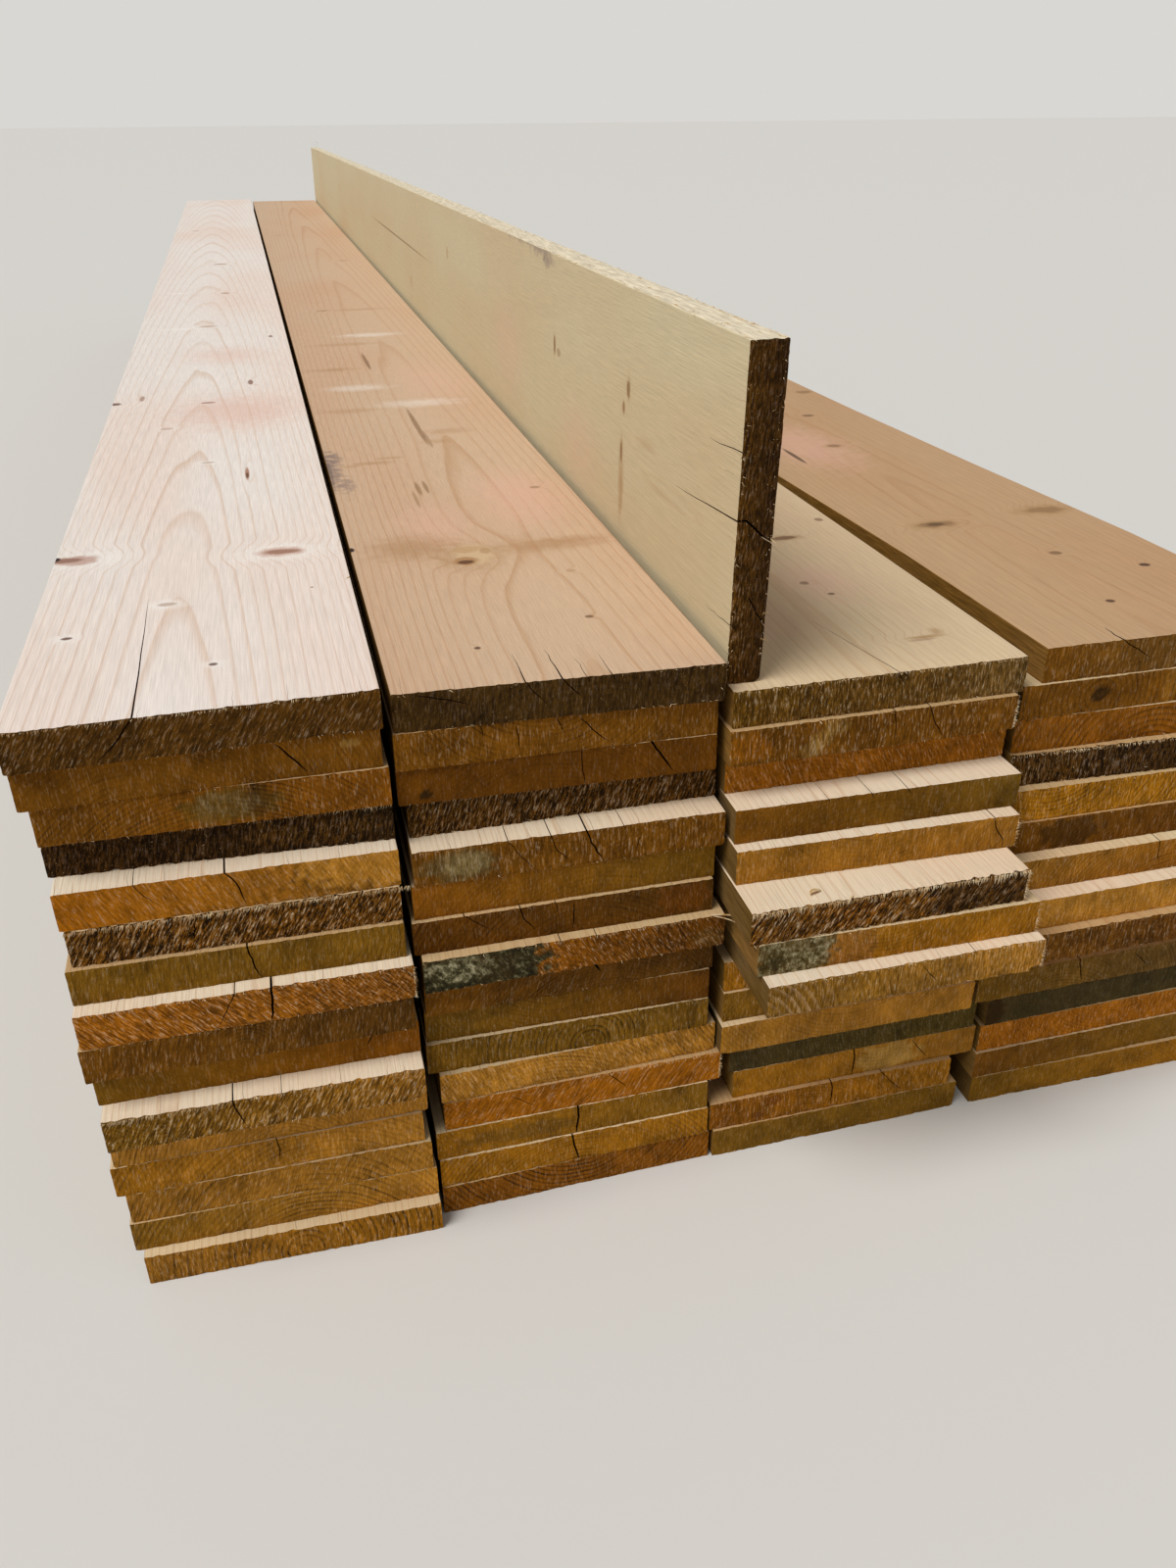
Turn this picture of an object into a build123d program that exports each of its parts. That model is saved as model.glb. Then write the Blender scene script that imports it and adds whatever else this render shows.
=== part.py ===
from build123d import *
import os

# A stack of rough sawn spruce boards, 25 x 200 mm and 4 m long, in four columns that stand
# side by side on the floor, with one more board standing on its long edge on the third column.
# X runs across the stack, Y along the boards (away from the end that shows), Z up.
# While building, x = 0 is the left side of the second column, y = 0 the plane that most of the
# near ends lie in, and z = 0 the floor. At the end everything moves to the middle of its base.

BOARD_LENGTH = 4000.0
EDGE_EASE = 0.8            # the saw leaves the long edges a little worn

# Each column: where its left side stands, how thick its boards were sawn, and its boards from
# the top down as (side shift, width, near end out at the left, near end out at the right).
# An end that stands out towards the viewer counts positive, one that is set back negative.
COLUMN_1 = {
    "left": -206.0, "thick": 25.4,
    "boards": [
        (-6, 203, -8, -12), (-5, 200, -13, -15), (0, 198, -16, -13), (-1, 199, -24, -15),
        (2, 196, -5, -3), (4, 193, -4, -2), (0, 197, -1, 1), (0, 200, 10, 11),
        (-2, 200, 10, 10), (0, 200, 2, 3), (2, 198, 18, 20), (0, 201, 5, 4),
        (-3, 200, 5, 6), (2, 199, 5, 8), (0, 203, 6, 8), (5, 198, 13, 17),
    ],
}
COLUMN_2 = {
    "left": 0.0, "thick": 24.95,
    "boards": [
        (-3, 201, -18, -10), (-4, 200, -17, -16), (-4, 200, -20, -15), (1, 199, -22, -24),
        (0, 200, -5, -3), (-2, 197, -6, -6), (-4, 198, -3, -3), (0, 201, 5, 4),
        (0, 197, -3, -5), (-1, 196, -7, -4), (-2, 197, -4, -3), (5, 197, 0, -5),
        (6, 200, 0, -1), (-1, 198, 1, 0), (0, 198, 3, 1), (0, 200, 4, 0),
    ],
}
COLUMN_3 = {
    "left": 204.0, "thick": 25.25,
    "boards": [
        (0, 204, -11, -13), (-2, 201, -7, -9), (0, 201, -18, -19), (0, 201, 4, 6),
        (-1, 199, 13, 17), (-2, 195, 46, 45), (4, 200, 46, 48), (8, 199, 58, 57),
        (2, 199, -4, -4), (2, 199, -2, -2), (0, 198, 3, 3), (10, 198, -3, -4),
        (14, 197, -3, -4), (-4, 196, 0, 0), (-1, 201, 2, 0),
    ],
}
COLUMN_4 = {
    "left": 412.0, "thick": 25.25,
    "boards": [
        (15, 206, -21, -21), (1, 200, -19, -20), (0, 200, -20, -17), (0, 200, -17, -9),
        (0, 200, -10, -8), (0, 200, -8, -6), (0, 200, 3, 3), (2, 200, 17, 15),
        (0, 200, 24, 23), (0, 201, -6, -6), (-4, 200, -1, -2), (9, 198, -2, -5),
        (6, 200, -2, -3), (5, 200, 0, -2), (6, 200, 0, 1),
    ],
}
COLUMNS = [COLUMN_1, COLUMN_2, COLUMN_3, COLUMN_4]

# The top board of the last column is crooked and was sawn with a taper: at these distances from
# its near end its left and its right side stand this far further left.
CROOK = [(0, 0, 0), (200, 1, 1), (425, 9, 13), (680, 15, 23), (950, 16, 30), (BOARD_LENGTH, 16, 30)]

# Open drying splits that run in from the near end:
# (column, board from the top, distance from the board's left side, lean from upright, gape, depth)
SPLITS = [
    (1, 8, 111, 0, 2.0, 140), (2, 3, 163, 35, 1.2, 120), (2, 5, 113, 24, 1.4, 160),
    (2, 9, 117, 28, 2.0, 90), (2, 14, 101, 0, 2.0, 150), (2, 15, 97, 9, 1.4, 110),
    (3, 13, 96, 0, 1.2, 90), (4, 1, 71, 60, 1.2, 120), (4, 11, 88, 16, 1.0, 80),
]

# The lower right corner is broken off the near end of the board that stands out furthest:
# how far up, across and along the board the break runs.
BREAK_COLUMN, BREAK_BOARD = 3, 8
BREAK_UP, BREAK_ACROSS, BREAK_ALONG = 7.0, 9.0, 60.0

# The board that stands on its long edge, a little thinner than the rest and leaning a degree.
EDGE_BOARD_LEFT = 202.6    # its foot stands at the left side of the third column
EDGE_BOARD_FOOT = 22.0     # thickness at the foot
EDGE_BOARD_HEAD = 23.5     # thickness at the top edge
EDGE_BOARD_LEAN = 3.1      # how far its top edge stands over to the right
EDGE_BOARD_HIGH = 204.0    # width of the board at its near end, standing up
EDGE_BOARD_FAR_HIGH = 178.0  # and at its far end, because it was sawn with a taper
EDGE_BOARD_SET_BACK = 22.0
FOOT_EASE = 2.6            # its lower right edge is knocked round


def end_split(x, near_y, middle_z, lean, gape, depth):
    # a drying split: widest at the end of the board and closing to nothing further in
    wedge = extrude(Polygon((-gape / 2, -30), (gape / 2, -30), (gape / 2, 0), (0, depth), (-gape / 2, 0),
                            align=None), amount=40, both=True)
    return Pos(x, near_y, middle_z) * Rot(0, -lean, 0) * wedge


def broken_corner(right, near_y, bottom):
    # a triangular bite under the right side that runs out along the board
    bite = Polygon((right - BREAK_ACROSS, 0), (right + 1, 0), (right + 1, BREAK_UP), align=None)
    end_on = Plane(origin=(0, near_y - 1, bottom - 0.1), x_dir=(1, 0, 0), z_dir=(0, -1, 0))
    return extrude(end_on * bite, amount=-BREAK_ALONG)


def sides_of(left, width, out_left, crooked):
    # the left and the right side seen from above, from the near end to the far end
    bends = CROOK if crooked else [(0, 0, 0), (BOARD_LENGTH, 0, 0)]
    left_side = [(left - go_left, y - out_left) for y, go_left, go_right in bends]
    right_side = [(left + width - go_right, y - out_left) for y, go_left, go_right in bends]
    return left_side, right_side


def board(column_number, number, bottom):
    column = COLUMNS[column_number - 1]
    shift, width, out_left, out_right = column["boards"][number - 1]
    left = column["left"] + shift
    thick = column["thick"]
    crooked = column_number == 4 and number == 1
    left_side, right_side = sides_of(left, width, out_left, crooked)
    turn = out_left - out_right     # the ends are sawn a little out of square
    right_side = [(x, y + turn) for x, y in right_side]
    plan = Polygon(*left_side, *reversed(right_side), align=None)
    solid = Pos(0, 0, bottom) * extrude(plan, amount=thick, dir=(0, 0, 1))
    along = solid.edges().filter_by(lambda e: abs(e.tangent_at(0.5).Y) > 0.9)
    solid = chamfer(along, EDGE_EASE)
    for c, n, across, lean, gape, depth in SPLITS:
        if (c, n) == (column_number, number):
            near_y = -(out_left + (out_right - out_left) * across / width)
            solid = solid - end_split(left + across, near_y, bottom + thick / 2, lean, gape, depth)
    if (column_number, number) == (BREAK_COLUMN, BREAK_BOARD):
        solid = solid - broken_corner(left + width, -out_right, bottom)
    return solid.solid()


def board_on_edge(foot_z):
    left = EDGE_BOARD_LEFT
    section = Polygon(
        (left, 0), (left + EDGE_BOARD_FOOT - FOOT_EASE, 0), (left + EDGE_BOARD_FOOT, FOOT_EASE),
        (left + EDGE_BOARD_LEAN + EDGE_BOARD_HEAD, EDGE_BOARD_HIGH), (left + EDGE_BOARD_LEAN, EDGE_BOARD_HIGH),
        align=None)
    standing = Plane(origin=(0, EDGE_BOARD_SET_BACK, foot_z), x_dir=(1, 0, 0), z_dir=(0, -1, 0))
    solid = extrude(standing * section, amount=-BOARD_LENGTH)
    taper = Polygon((0, EDGE_BOARD_HIGH), (BOARD_LENGTH, EDGE_BOARD_FAR_HIGH),
                    (BOARD_LENGTH, EDGE_BOARD_HIGH + 20), (0, EDGE_BOARD_HIGH + 20), align=None)
    side_on = Plane(origin=(left - 50, EDGE_BOARD_SET_BACK, foot_z), x_dir=(0, 1, 0), z_dir=(1, 0, 0))
    return (solid - extrude(side_on * taper, amount=150)).solid()


def build():
    layers = {}
    for column_number, column in enumerate(COLUMNS, start=1):
        count = len(column["boards"])
        for number in range(1, count + 1):
            layer = count - number + 1
            piece = board(column_number, number, (layer - 1) * column["thick"])
            layers.setdefault("layer_%02d" % layer, []).append(piece)
    layers["board_on_edge"] = [board_on_edge(len(COLUMN_3["boards"]) * COLUMN_3["thick"])]
    return layers


def main():
    layers = build()
    boxes = [piece.bounding_box() for pieces in layers.values() for piece in pieces]
    low = [min(getattr(b.min, axis) for b in boxes) for axis in "XYZ"]
    high = [max(getattr(b.max, axis) for b in boxes) for axis in "XYZ"]
    to_base = Pos(-(low[0] + high[0]) / 2, -(low[1] + high[1]) / 2, -low[2])
    os.makedirs("parts", exist_ok=True)
    for name, pieces in layers.items():
        export_step(Compound(children=[to_base * piece for piece in pieces]), "parts/%s.step" % name)
    print("across %.1f mm, along %.1f mm, high %.1f mm" % tuple(h - l for l, h in zip(low, high)))
    print("moved by %s" % to_base.position)


main()
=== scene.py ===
import math
import random

import bpy
import numpy as np
from mathutils import Matrix, Vector, noise


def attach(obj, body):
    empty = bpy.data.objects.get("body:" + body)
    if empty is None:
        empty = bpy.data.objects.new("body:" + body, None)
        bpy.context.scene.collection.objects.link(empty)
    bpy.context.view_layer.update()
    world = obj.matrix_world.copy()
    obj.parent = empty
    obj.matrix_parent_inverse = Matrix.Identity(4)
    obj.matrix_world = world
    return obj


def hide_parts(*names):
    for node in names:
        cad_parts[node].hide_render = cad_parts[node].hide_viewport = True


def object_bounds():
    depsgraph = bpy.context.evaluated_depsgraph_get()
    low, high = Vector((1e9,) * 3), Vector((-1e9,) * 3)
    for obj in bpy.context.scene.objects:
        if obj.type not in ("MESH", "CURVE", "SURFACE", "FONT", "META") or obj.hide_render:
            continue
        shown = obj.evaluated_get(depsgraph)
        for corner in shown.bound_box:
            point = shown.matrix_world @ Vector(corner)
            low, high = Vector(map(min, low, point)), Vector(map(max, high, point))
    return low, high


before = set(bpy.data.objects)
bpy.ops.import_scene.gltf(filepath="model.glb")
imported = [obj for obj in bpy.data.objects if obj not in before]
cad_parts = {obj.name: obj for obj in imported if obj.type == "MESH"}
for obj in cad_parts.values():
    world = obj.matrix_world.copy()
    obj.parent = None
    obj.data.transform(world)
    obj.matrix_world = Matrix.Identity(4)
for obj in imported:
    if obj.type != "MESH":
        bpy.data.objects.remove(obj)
cad_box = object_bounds()
MM = 0.001

# The photograph's view, worked out from the edges of the boards: where the lens stood, which way
# it looked, how it was tilted, and its focal length on a film 36 mm on its long side.
LENS_AT = Vector((-261.9, -2605.4, 695.9)) * MM
LENS_HEADING, LENS_DIP, LENS_ROLL = math.radians(14.4), math.radians(29.33), math.radians(0.31)
FOCAL_LENGTH, FILM_LONG_SIDE = 28.05, 36.0

# Stock sizes of the blanks that the boards are cut from, in metres.
BOARD_LONG = 4000 * MM
FLAT_WIDE, FLAT_THICK = 200 * MM, 25 * MM
STANDING_TALL, STANDING_THICK, FOOT_EASE = 204 * MM, 23 * MM, 2.6 * MM
EDGE_EASE = 0.8 * MM        # the worn long edges, as wide as on the solids
EASE_STEPS = 2
END_DEPTH = 9 * MM          # how far in from an end the saw's roughness reaches
FRONT = -1983 * MM          # the plane that distances along a board are counted from
FACE, END_GRAIN, IN_CHECKS, PALE_FIBRE = range(4)      # the order of a board's materials
# where the mesh is divided along a board, in mm: finely at its ends, where the saw tore it
END_RINGS = [1.5, 4, 9, 25]
FAR_RINGS = [3975, 3991, 3996, 3998.5, 4000]


def linear(hex_colour, alpha=1.0):
    """sRGB hex to the linear values that the shaders take."""
    parts = [int(hex_colour[i:i + 2], 16) / 255 for i in (0, 2, 4)]
    return tuple(p / 12.92 if p <= 0.04045 else ((p + 0.055) / 1.055) ** 2.4 for p in parts) + (alpha,)


def grey(value):
    return (value, value, value, 1.0)


# Colours of sawn ends in this stack.
TONES = {
    "soot": "36230e", "black_brown": "452b11", "dark_brown": "5e3c13", "brown": "7b4d12",
    "red_brown": "79430f", "olive_brown": "7f591b", "grey_brown": "775732", "russet": "8c5411",
    "orange": "ab6611", "honey": "a36b18", "tan": "a26d2a", "light_tan": "b97f37",
    "grey": "493b25", "pale": "c2a06c", "blush": "99674d", "umber": "693e0a", "grey_olive": "5c4a22",
    "ash": "9c8668", "amber": "9b5f12", "moss_brown": "70501a", "gold": "b37618", "ochre": "885f1d",
    "wheat": "ab7530", "bog_brown": "4a3216",
}
MOULD, BLOOM = "mould", "bloom"     # dark and pale mould: it grows over the tone and is kept apart from it

# How each board's sawn end looks, from the top of its column down: tone at its left, tone at its
# right, how torn the saw left it (0 to 1), how plainly its rings show (below 0 they are pale),
# how far the saw's strokes lean to the right (degrees), then the heart of its tree, in mm from
# the board's left side and up from its bottom, and the width of a year's growth in mm.
ENDS = {
    1: [
        ("dark_brown", "dark_brown", 0.55, 0.35, 30, 90, -40, 5.0),
        ("brown", "brown", 0.15, 0.5, 0, 60, -45, 3.0),
        ("brown", "russet", 0.25, 0.8, 0, 95, -75, 2.8),
        ("black_brown", "soot", 1.0, 0.1, 12, 60, 60, 3.0),
        ("orange", "tan", 0.25, 0.3, -25, 100, 70, 3.0),
        ("brown", "brown", 1.0, 0.2, 28, 120, -60, 2.8),
        ("olive_brown", "olive_brown", 0.2, 0.6, 8, 150, 20, 3.2),
        ("orange", "russet", 0.55, -0.5, -38, 110, 70, 3.0),
        ("brown", "dark_brown", 0.3, 0.6, 10, 95, 5, 2.6),
        ("olive_brown", "russet", 0.15, 0.3, 0, 140, 80, 3.0),
        ("olive_brown", "tan", 0.6, 0.4, 25, 40, 55, 2.8),
        ("light_tan", "light_tan", 0.2, 0.8, 12, 105, -22, 3.0),
        ("honey", "light_tan", 0.2, 0.8, 0, 130, -60, 3.8),
        ("tan", "wheat", 0.25, 0.9, 20, 110, -45, 4.4),
        ("ochre", "light_tan", 0.2, 0.9, 10, 115, -45, 3.8),
        ("tan", "honey", 0.3, 1.2, 0, 104, 6, 4.4),
    ],
    2: [
        ("bog_brown", "bog_brown", 0.5, 0.5, 4, 118, -80, 4.2),
        ("brown", "brown", 0.25, 0.7, 0, 92, 70, 3.2),
        ("umber", "umber", 0.15, 0.4, 0, 90, -60, 3.0),
        ("dark_brown", "dark_brown", 1.0, 0.1, 18, 70, 50, 3.0),
        ("brown", "brown", 0.35, 0.4, 0, 100, 78, 3.0),
        ("russet", "olive_brown", 0.15, 0.3, 0, 120, -70, 3.2),
        ("umber", "dark_brown", 0.2, 0.7, 0, 112, -50, 3.4),
        ("orange", "umber", 0.5, 0.5, -30, 82, -48, 3.2),
        ("brown", "dark_brown", 0.2, 0.7, 15, 120, -50, 2.8),
        ("olive_brown", "umber", 0.15, 0.5, 0, 90, 70, 3.0),
        ("olive_brown", "olive_brown", 0.25, 1.1, 0, 112, 4, 3.6),
        ("light_tan", "light_tan", 0.3, 0.8, -20, 72, -60, 3.2),
        ("orange", "orange", 0.3, 0.6, 30, 62, 72, 3.0),
        ("honey", "olive_brown", 0.2, 0.4, 0, 90, 90, 3.0),
        ("honey", "honey", 0.2, 0.8, 0, 102, -58, 3.4),
        ("russet", "russet", 0.2, 1.3, 0, 100, 72, 3.8),
    ],
    3: [
        ("olive_brown", "grey_brown", 0.6, 0.3, 0, 100, 80, 4.0),
        ("brown", "brown", 0.4, 0.5, 0, 40, 8, 3.0),
        ("amber", "amber", 0.35, -0.4, -22, 60, -60, 3.0),
        ("brown", "moss_brown", 0.15, 0.2, 0, 100, -80, 3.0),
        ("tan", "tan", 0.2, 0.3, 0, 95, 85, 3.2),
        ("brown", "brown", 1.0, 0.3, 30, 90, -50, 3.0),
        ("honey", "honey", 0.25, 0.4, 0, 90, 60, 3.0),
        ("ochre", "wheat", 0.4, -0.55, 0, -30, -24, 6.0),
        ("honey", "honey", 0.3, 0.5, 0, 80, 60, 3.0),
        ("olive_brown", "light_tan", 0.25, 0.5, 0, 110, -70, 3.0),
        ("wheat", "light_tan", 0.15, 0.4, 0, 100, 80, 3.2),
        ("grey", "grey_olive", 0.25, 0.3, -12, 60, -80, 3.0),
        ("honey", "tan", 0.15, 0.3, 0, 120, 60, 3.2),
        ("russet", "honey", 0.3, 0.5, 0, 70, -50, 3.0),
        ("olive_brown", "olive_brown", 0.15, 0.3, 0, 100, -70, 3.2),
    ],
    4: [
        ("brown", "grey_brown", 0.3, 0.3, 0, 90, -70, 4.0),
        ("brown", "brown", 0.2, 0.8, 0, 60, 12, 4.2),
        ("russet", "russet", 0.2, 0.9, 0, 110, -28, 4.6),
        ("dark_brown", "soot", 1.0, 0.1, 0, 80, 70, 3.0),
        ("gold", "gold", 0.35, 0.9, 0, 30, 60, 3.4),
        ("brown", "umber", 0.25, 0.4, 0, 130, -60, 3.0),
        ("wheat", "russet", 0.2, 0.8, 0, 140, -50, 3.2),
        ("light_tan", "light_tan", 0.2, 0.3, 0, 90, 90, 3.0),
        ("brown", "umber", 0.45, 0.4, 0, 90, -70, 3.0),
        ("honey", "tan", 0.3, 0.5, 0, 100, 60, 3.0),
        ("olive_brown", "grey_brown", 0.2, 0.6, 0, 70, -40, 3.0),
        ("grey", "grey", 0.2, 0.1, 0, 100, 80, 3.0),
        ("orange", "orange", 0.3, 0.4, 0, 120, 75, 3.0),
        ("brown", "olive_brown", 0.15, 0.3, 0, 80, -80, 3.0),
        ("olive_brown", "honey", 0.15, 0.4, 0, 110, -70, 3.0),
    ],
}
STANDING_END = ("dark_brown", "black_brown", 0.8, 0.2, 4, 120, 20, 2.6)

# Drying checks in the near ends. (column, board): [(gape, depth, points), ...], the points in mm
# from the board's left side and up from its bottom; above 25 a check also runs out on the top.
CHECKS = {
    (1, 1): [(0.8, 190, [(71, 27), (66, 21), (61, 13), (48, 2)])],
    (1, 2): [(1.1, 60, [(141, 23), (149, 13), (157, 3)])],
    (1, 5): [(0.9, 90, [(94, 27), (101, 18), (105, 2)]), (0.5, 40, [(44, 27), (46, 21), (55, 10)])],
    (1, 6): [(1.0, 40, [(72, 19), (70, 8)])],
    (1, 7): [(1.0, 70, [(103, 27), (105, 12), (108, 1)])],
    (1, 8): [(1.4, 140, [(114, 27), (113, 13), (111, -2)]), (0.6, 60, [(93, 27), (88, 17), (80, 3)])],
    (1, 10): [(0.8, 50, [(172, 24), (166, 12)])],
    (1, 11): [(0.9, 80, [(78, 27), (80, 15), (84, 3)]), (0.5, 50, [(108, 27), (109, 22)])],
    (1, 12): [(0.6, 40, [(120, 24), (124, 14)])],
    (1, 13): [(0.7, 60, [(104, 27), (105, 16), (104, 6)])],
    (2, 1): [(0.8, 50, [(12, 23.5), (30, 19), (46, 14)]), (0.6, 48, [(76, 27), (82, 20), (90, 10)]),
             (0.7, 50, [(98, 27), (104, 20), (112, 12)]), (0.4, 34, [(114, 27), (117, 21)]),
             (0.4, 38, [(129, 27), (133, 20)])],
    (2, 2): [(0.5, 40, [(52, 24), (53, 16)]), (0.6, 40, [(73, 22), (75, 5)]),
             (0.7, 60, [(98, 24), (102, 14)]),
             (0.7, 50, [(112, 22), (121, 12), (131, 3)])],
    (2, 3): [(1.2, 120, [(156, 27), (163, 16), (172, 2)]), (0.6, 60, [(113, 26), (114, 8), (116, -2)])],
    (2, 5): [(0.5, 70, [(58, 27), (66, 13), (75, 2)]), (0.6, 80, [(85, 27), (89, 14), (98, 4)]),
             (1.0, 110, [(108, 27), (112, 15), (119, 1)]), (0.5, 40, [(132, 27), (133, 22)]),
             (0.5, 40, [(144, 18), (141, 5)])],
    (2, 7): [(0.6, 60, [(31, 27), (39, 20), (48, 13)]), (0.8, 80, [(68, 27), (71, 16), (78, 6)]),
             (0.5, 30, [(91, 27), (93, 17)]), (0.8, 40, [(104, 24), (103, 3)])],
    (2, 8): [(0.5, 50, [(88, 27), (90, 21)]), (0.5, 50, [(112, 27), (114, 20)])],
    (2, 9): [(1.5, 60, [(110, 27), (114, 20), (118, 13)])],
    (2, 13): [(0.7, 40, [(117, 24), (130, 9)]), (0.5, 30, [(46, 21), (63, 8)])],
    (2, 14): [(1.6, 150, [(101, 27), (101, 12), (99, -2)])],
    (2, 15): [(1.3, 110, [(95, 27), (97, 14), (100, -2)])],
    (3, 1): [(0.7, 100, [(112, 27), (113, 22), (118, 16)])],
    (3, 2): [(0.7, 60, [(112, 27), (113, 17), (114, 8)]), (0.7, 60, [(136, 27), (140, 15), (149, 2)])],
    (3, 4): [(0.5, 60, [(62, 27), (64, 22)]), (0.5, 60, [(92, 27), (95, 21)]),
             (0.5, 60, [(118, 27), (121, 20)])],
    (3, 5): [(0.7, 90, [(180, 27), (182, 17), (189, 7), (190, -2)])],
    (3, 8): [(0.5, 90, [(146, 27), (147, 23)]), (0.5, 40, [(109, 20), (121, 6)])],
    (3, 13): [(1.1, 110, [(95, 27), (97, 14), (96, -2)]), (0.6, 60, [(143, 24), (150, 14), (158, 4)])],
    (3, 14): [(1.0, 70, [(96, 27), (98, 16), (97, 4)]), (0.6, 60, [(136, 27), (146, 14), (157, 3)])],
    (4, 1): [(0.7, 28, [(54, 27), (64, 20), (81, 10)])],
    (4, 7): [(0.7, 60, [(121, 27), (122, 16), (124, 7)])],
    (4, 11): [(0.9, 80, [(84, 27), (87, 15), (91, 3)]), (0.6, 40, [(133, 21), (149, 6)])],
}
# How far a check moves over as it runs in, where it doesn't follow the board: mm across, mm up.
CHECK_SLANTS = {(3, 1): (-20, 0)}
STANDING_CHECKS = [
    (1.3, 120, [(-3, 103), (6, 105), (13, 98), (27, 86)], (0, -10)),
    (0.8, 40, [(12, 56), (17, 46), (26, 32)], (0, 0)), (0.5, 60, [(-3, 146), (4, 142)], (0, -5)),
    (0.5, 50, [(-3, 42), (5, 37)], (0, -4)), (0.5, 40, [(-3, 131), (2, 129)], (0, -3)),
]

# Where the saw left a fringe of torn fibre. (column, board): [(rim, from, to, how many, shortest,
# longest, lean to the right in degrees, droop), ...], in mm, along the rim from left or bottom;
# a droop of 1 hangs the fibres down over the end as far as they stand out from it.
FRINGES = {
    (1, 1): [("top", 0, 196, 150, 1.2, 2.6, 20, 0.3)],
    (1, 4): [("top", 0, 199, 120, 1.5, 3.5, 10, 1.0)],
    (1, 6): [("top", 0, 199, 420, 1.5, 4.0, 25, 0.8)],
    (1, 8): [("right", 1, 24, 70, 1.2, 3.2, 20, 0.2),
             ("top", 0, 199, 70, 1.0, 2.2, -20, 0.4)],
    (1, 11): [("top", 0, 70, 110, 1.5, 4.0, 20, 0.8),
              ("top", 70, 199, 80, 1.2, 2.4, 25, 0.5)],
    (2, 4): [("top", 0, 199, 120, 1.2, 3.0, 20, 0.8)],
    (2, 8): [("top", 60, 190, 60, 1.0, 2.4, 10, 0.6)],
    (2, 13): [("right", 2, 24, 60, 1.0, 3.0, 10, 0.3),
              ("top", 100, 199, 60, 1.0, 2.2, 20, 0.4)],
    (3, 1): [("top", 0, 196, 90, 1.0, 2.2, 15, 0.4)],
    (3, 2): [("right", 1, 24, 60, 1.0, 3.0, 10, 0.3)],
    (3, 5): [("right", 1, 24, 40, 1.2, 3.5, 30, 0.2)],
    (3, 6): [("top", 0, 196, 420, 1.5, 4.5, 18, 0.9),
             ("top", 0, 196, 30, 4.0, 7.0, 20, 1.0),
             ("right", 1, 24, 60, 1.2, 3.5, 25, 0.5)],
    (3, 7): [("right", 1, 24, 60, 1.2, 4.0, 30, 0.4)],
    (3, 8): [("right", 3, 24, 60, 1.2, 4.0, 20, 0.4),
             ("top", 0, 196, 60, 1.0, 2.4, 10, 0.4)],
    (4, 4): [("top", 0, 199, 120, 1.2, 3.0, 20, 0.6)],
}

# Long shavings that still hang on: (column, board): [(width, thickness, points), ...] in mm from
# the board's left side, out from its near end (in from it below 0), and up from its bottom.
SHAVINGS = {
    (3, 6): [(3.2, 0.35, [(52, -14, 25.2), (49, -13, 27.2), (45, -12, 28.0),
                          (42, -11, 26.6), (44, -9, 25.4)]),
             (1.6, 0.3, [(70, -4, 25.1), (67, -1, 26.2), (64, 2, 25.6), (63, 3, 23.8)])],
    (2, 8): [(1.1, 0.5, [(188, -3, 25.0), (197, 1, 26.6), (206, 3, 26.0), (213, 3, 22.0), (217, 1, 15.0)]),
             (0.9, 0.4, [(191, -2, 24.8), (200, 3, 24.6), (208, 5, 20.5), (214, 4, 14.0)])],
    (1, 1): [(2.0, 0.5, [(198, -186, 24.6), (200.5, -190, 26.2), (203, -192, 25.8)])],
}

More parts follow.
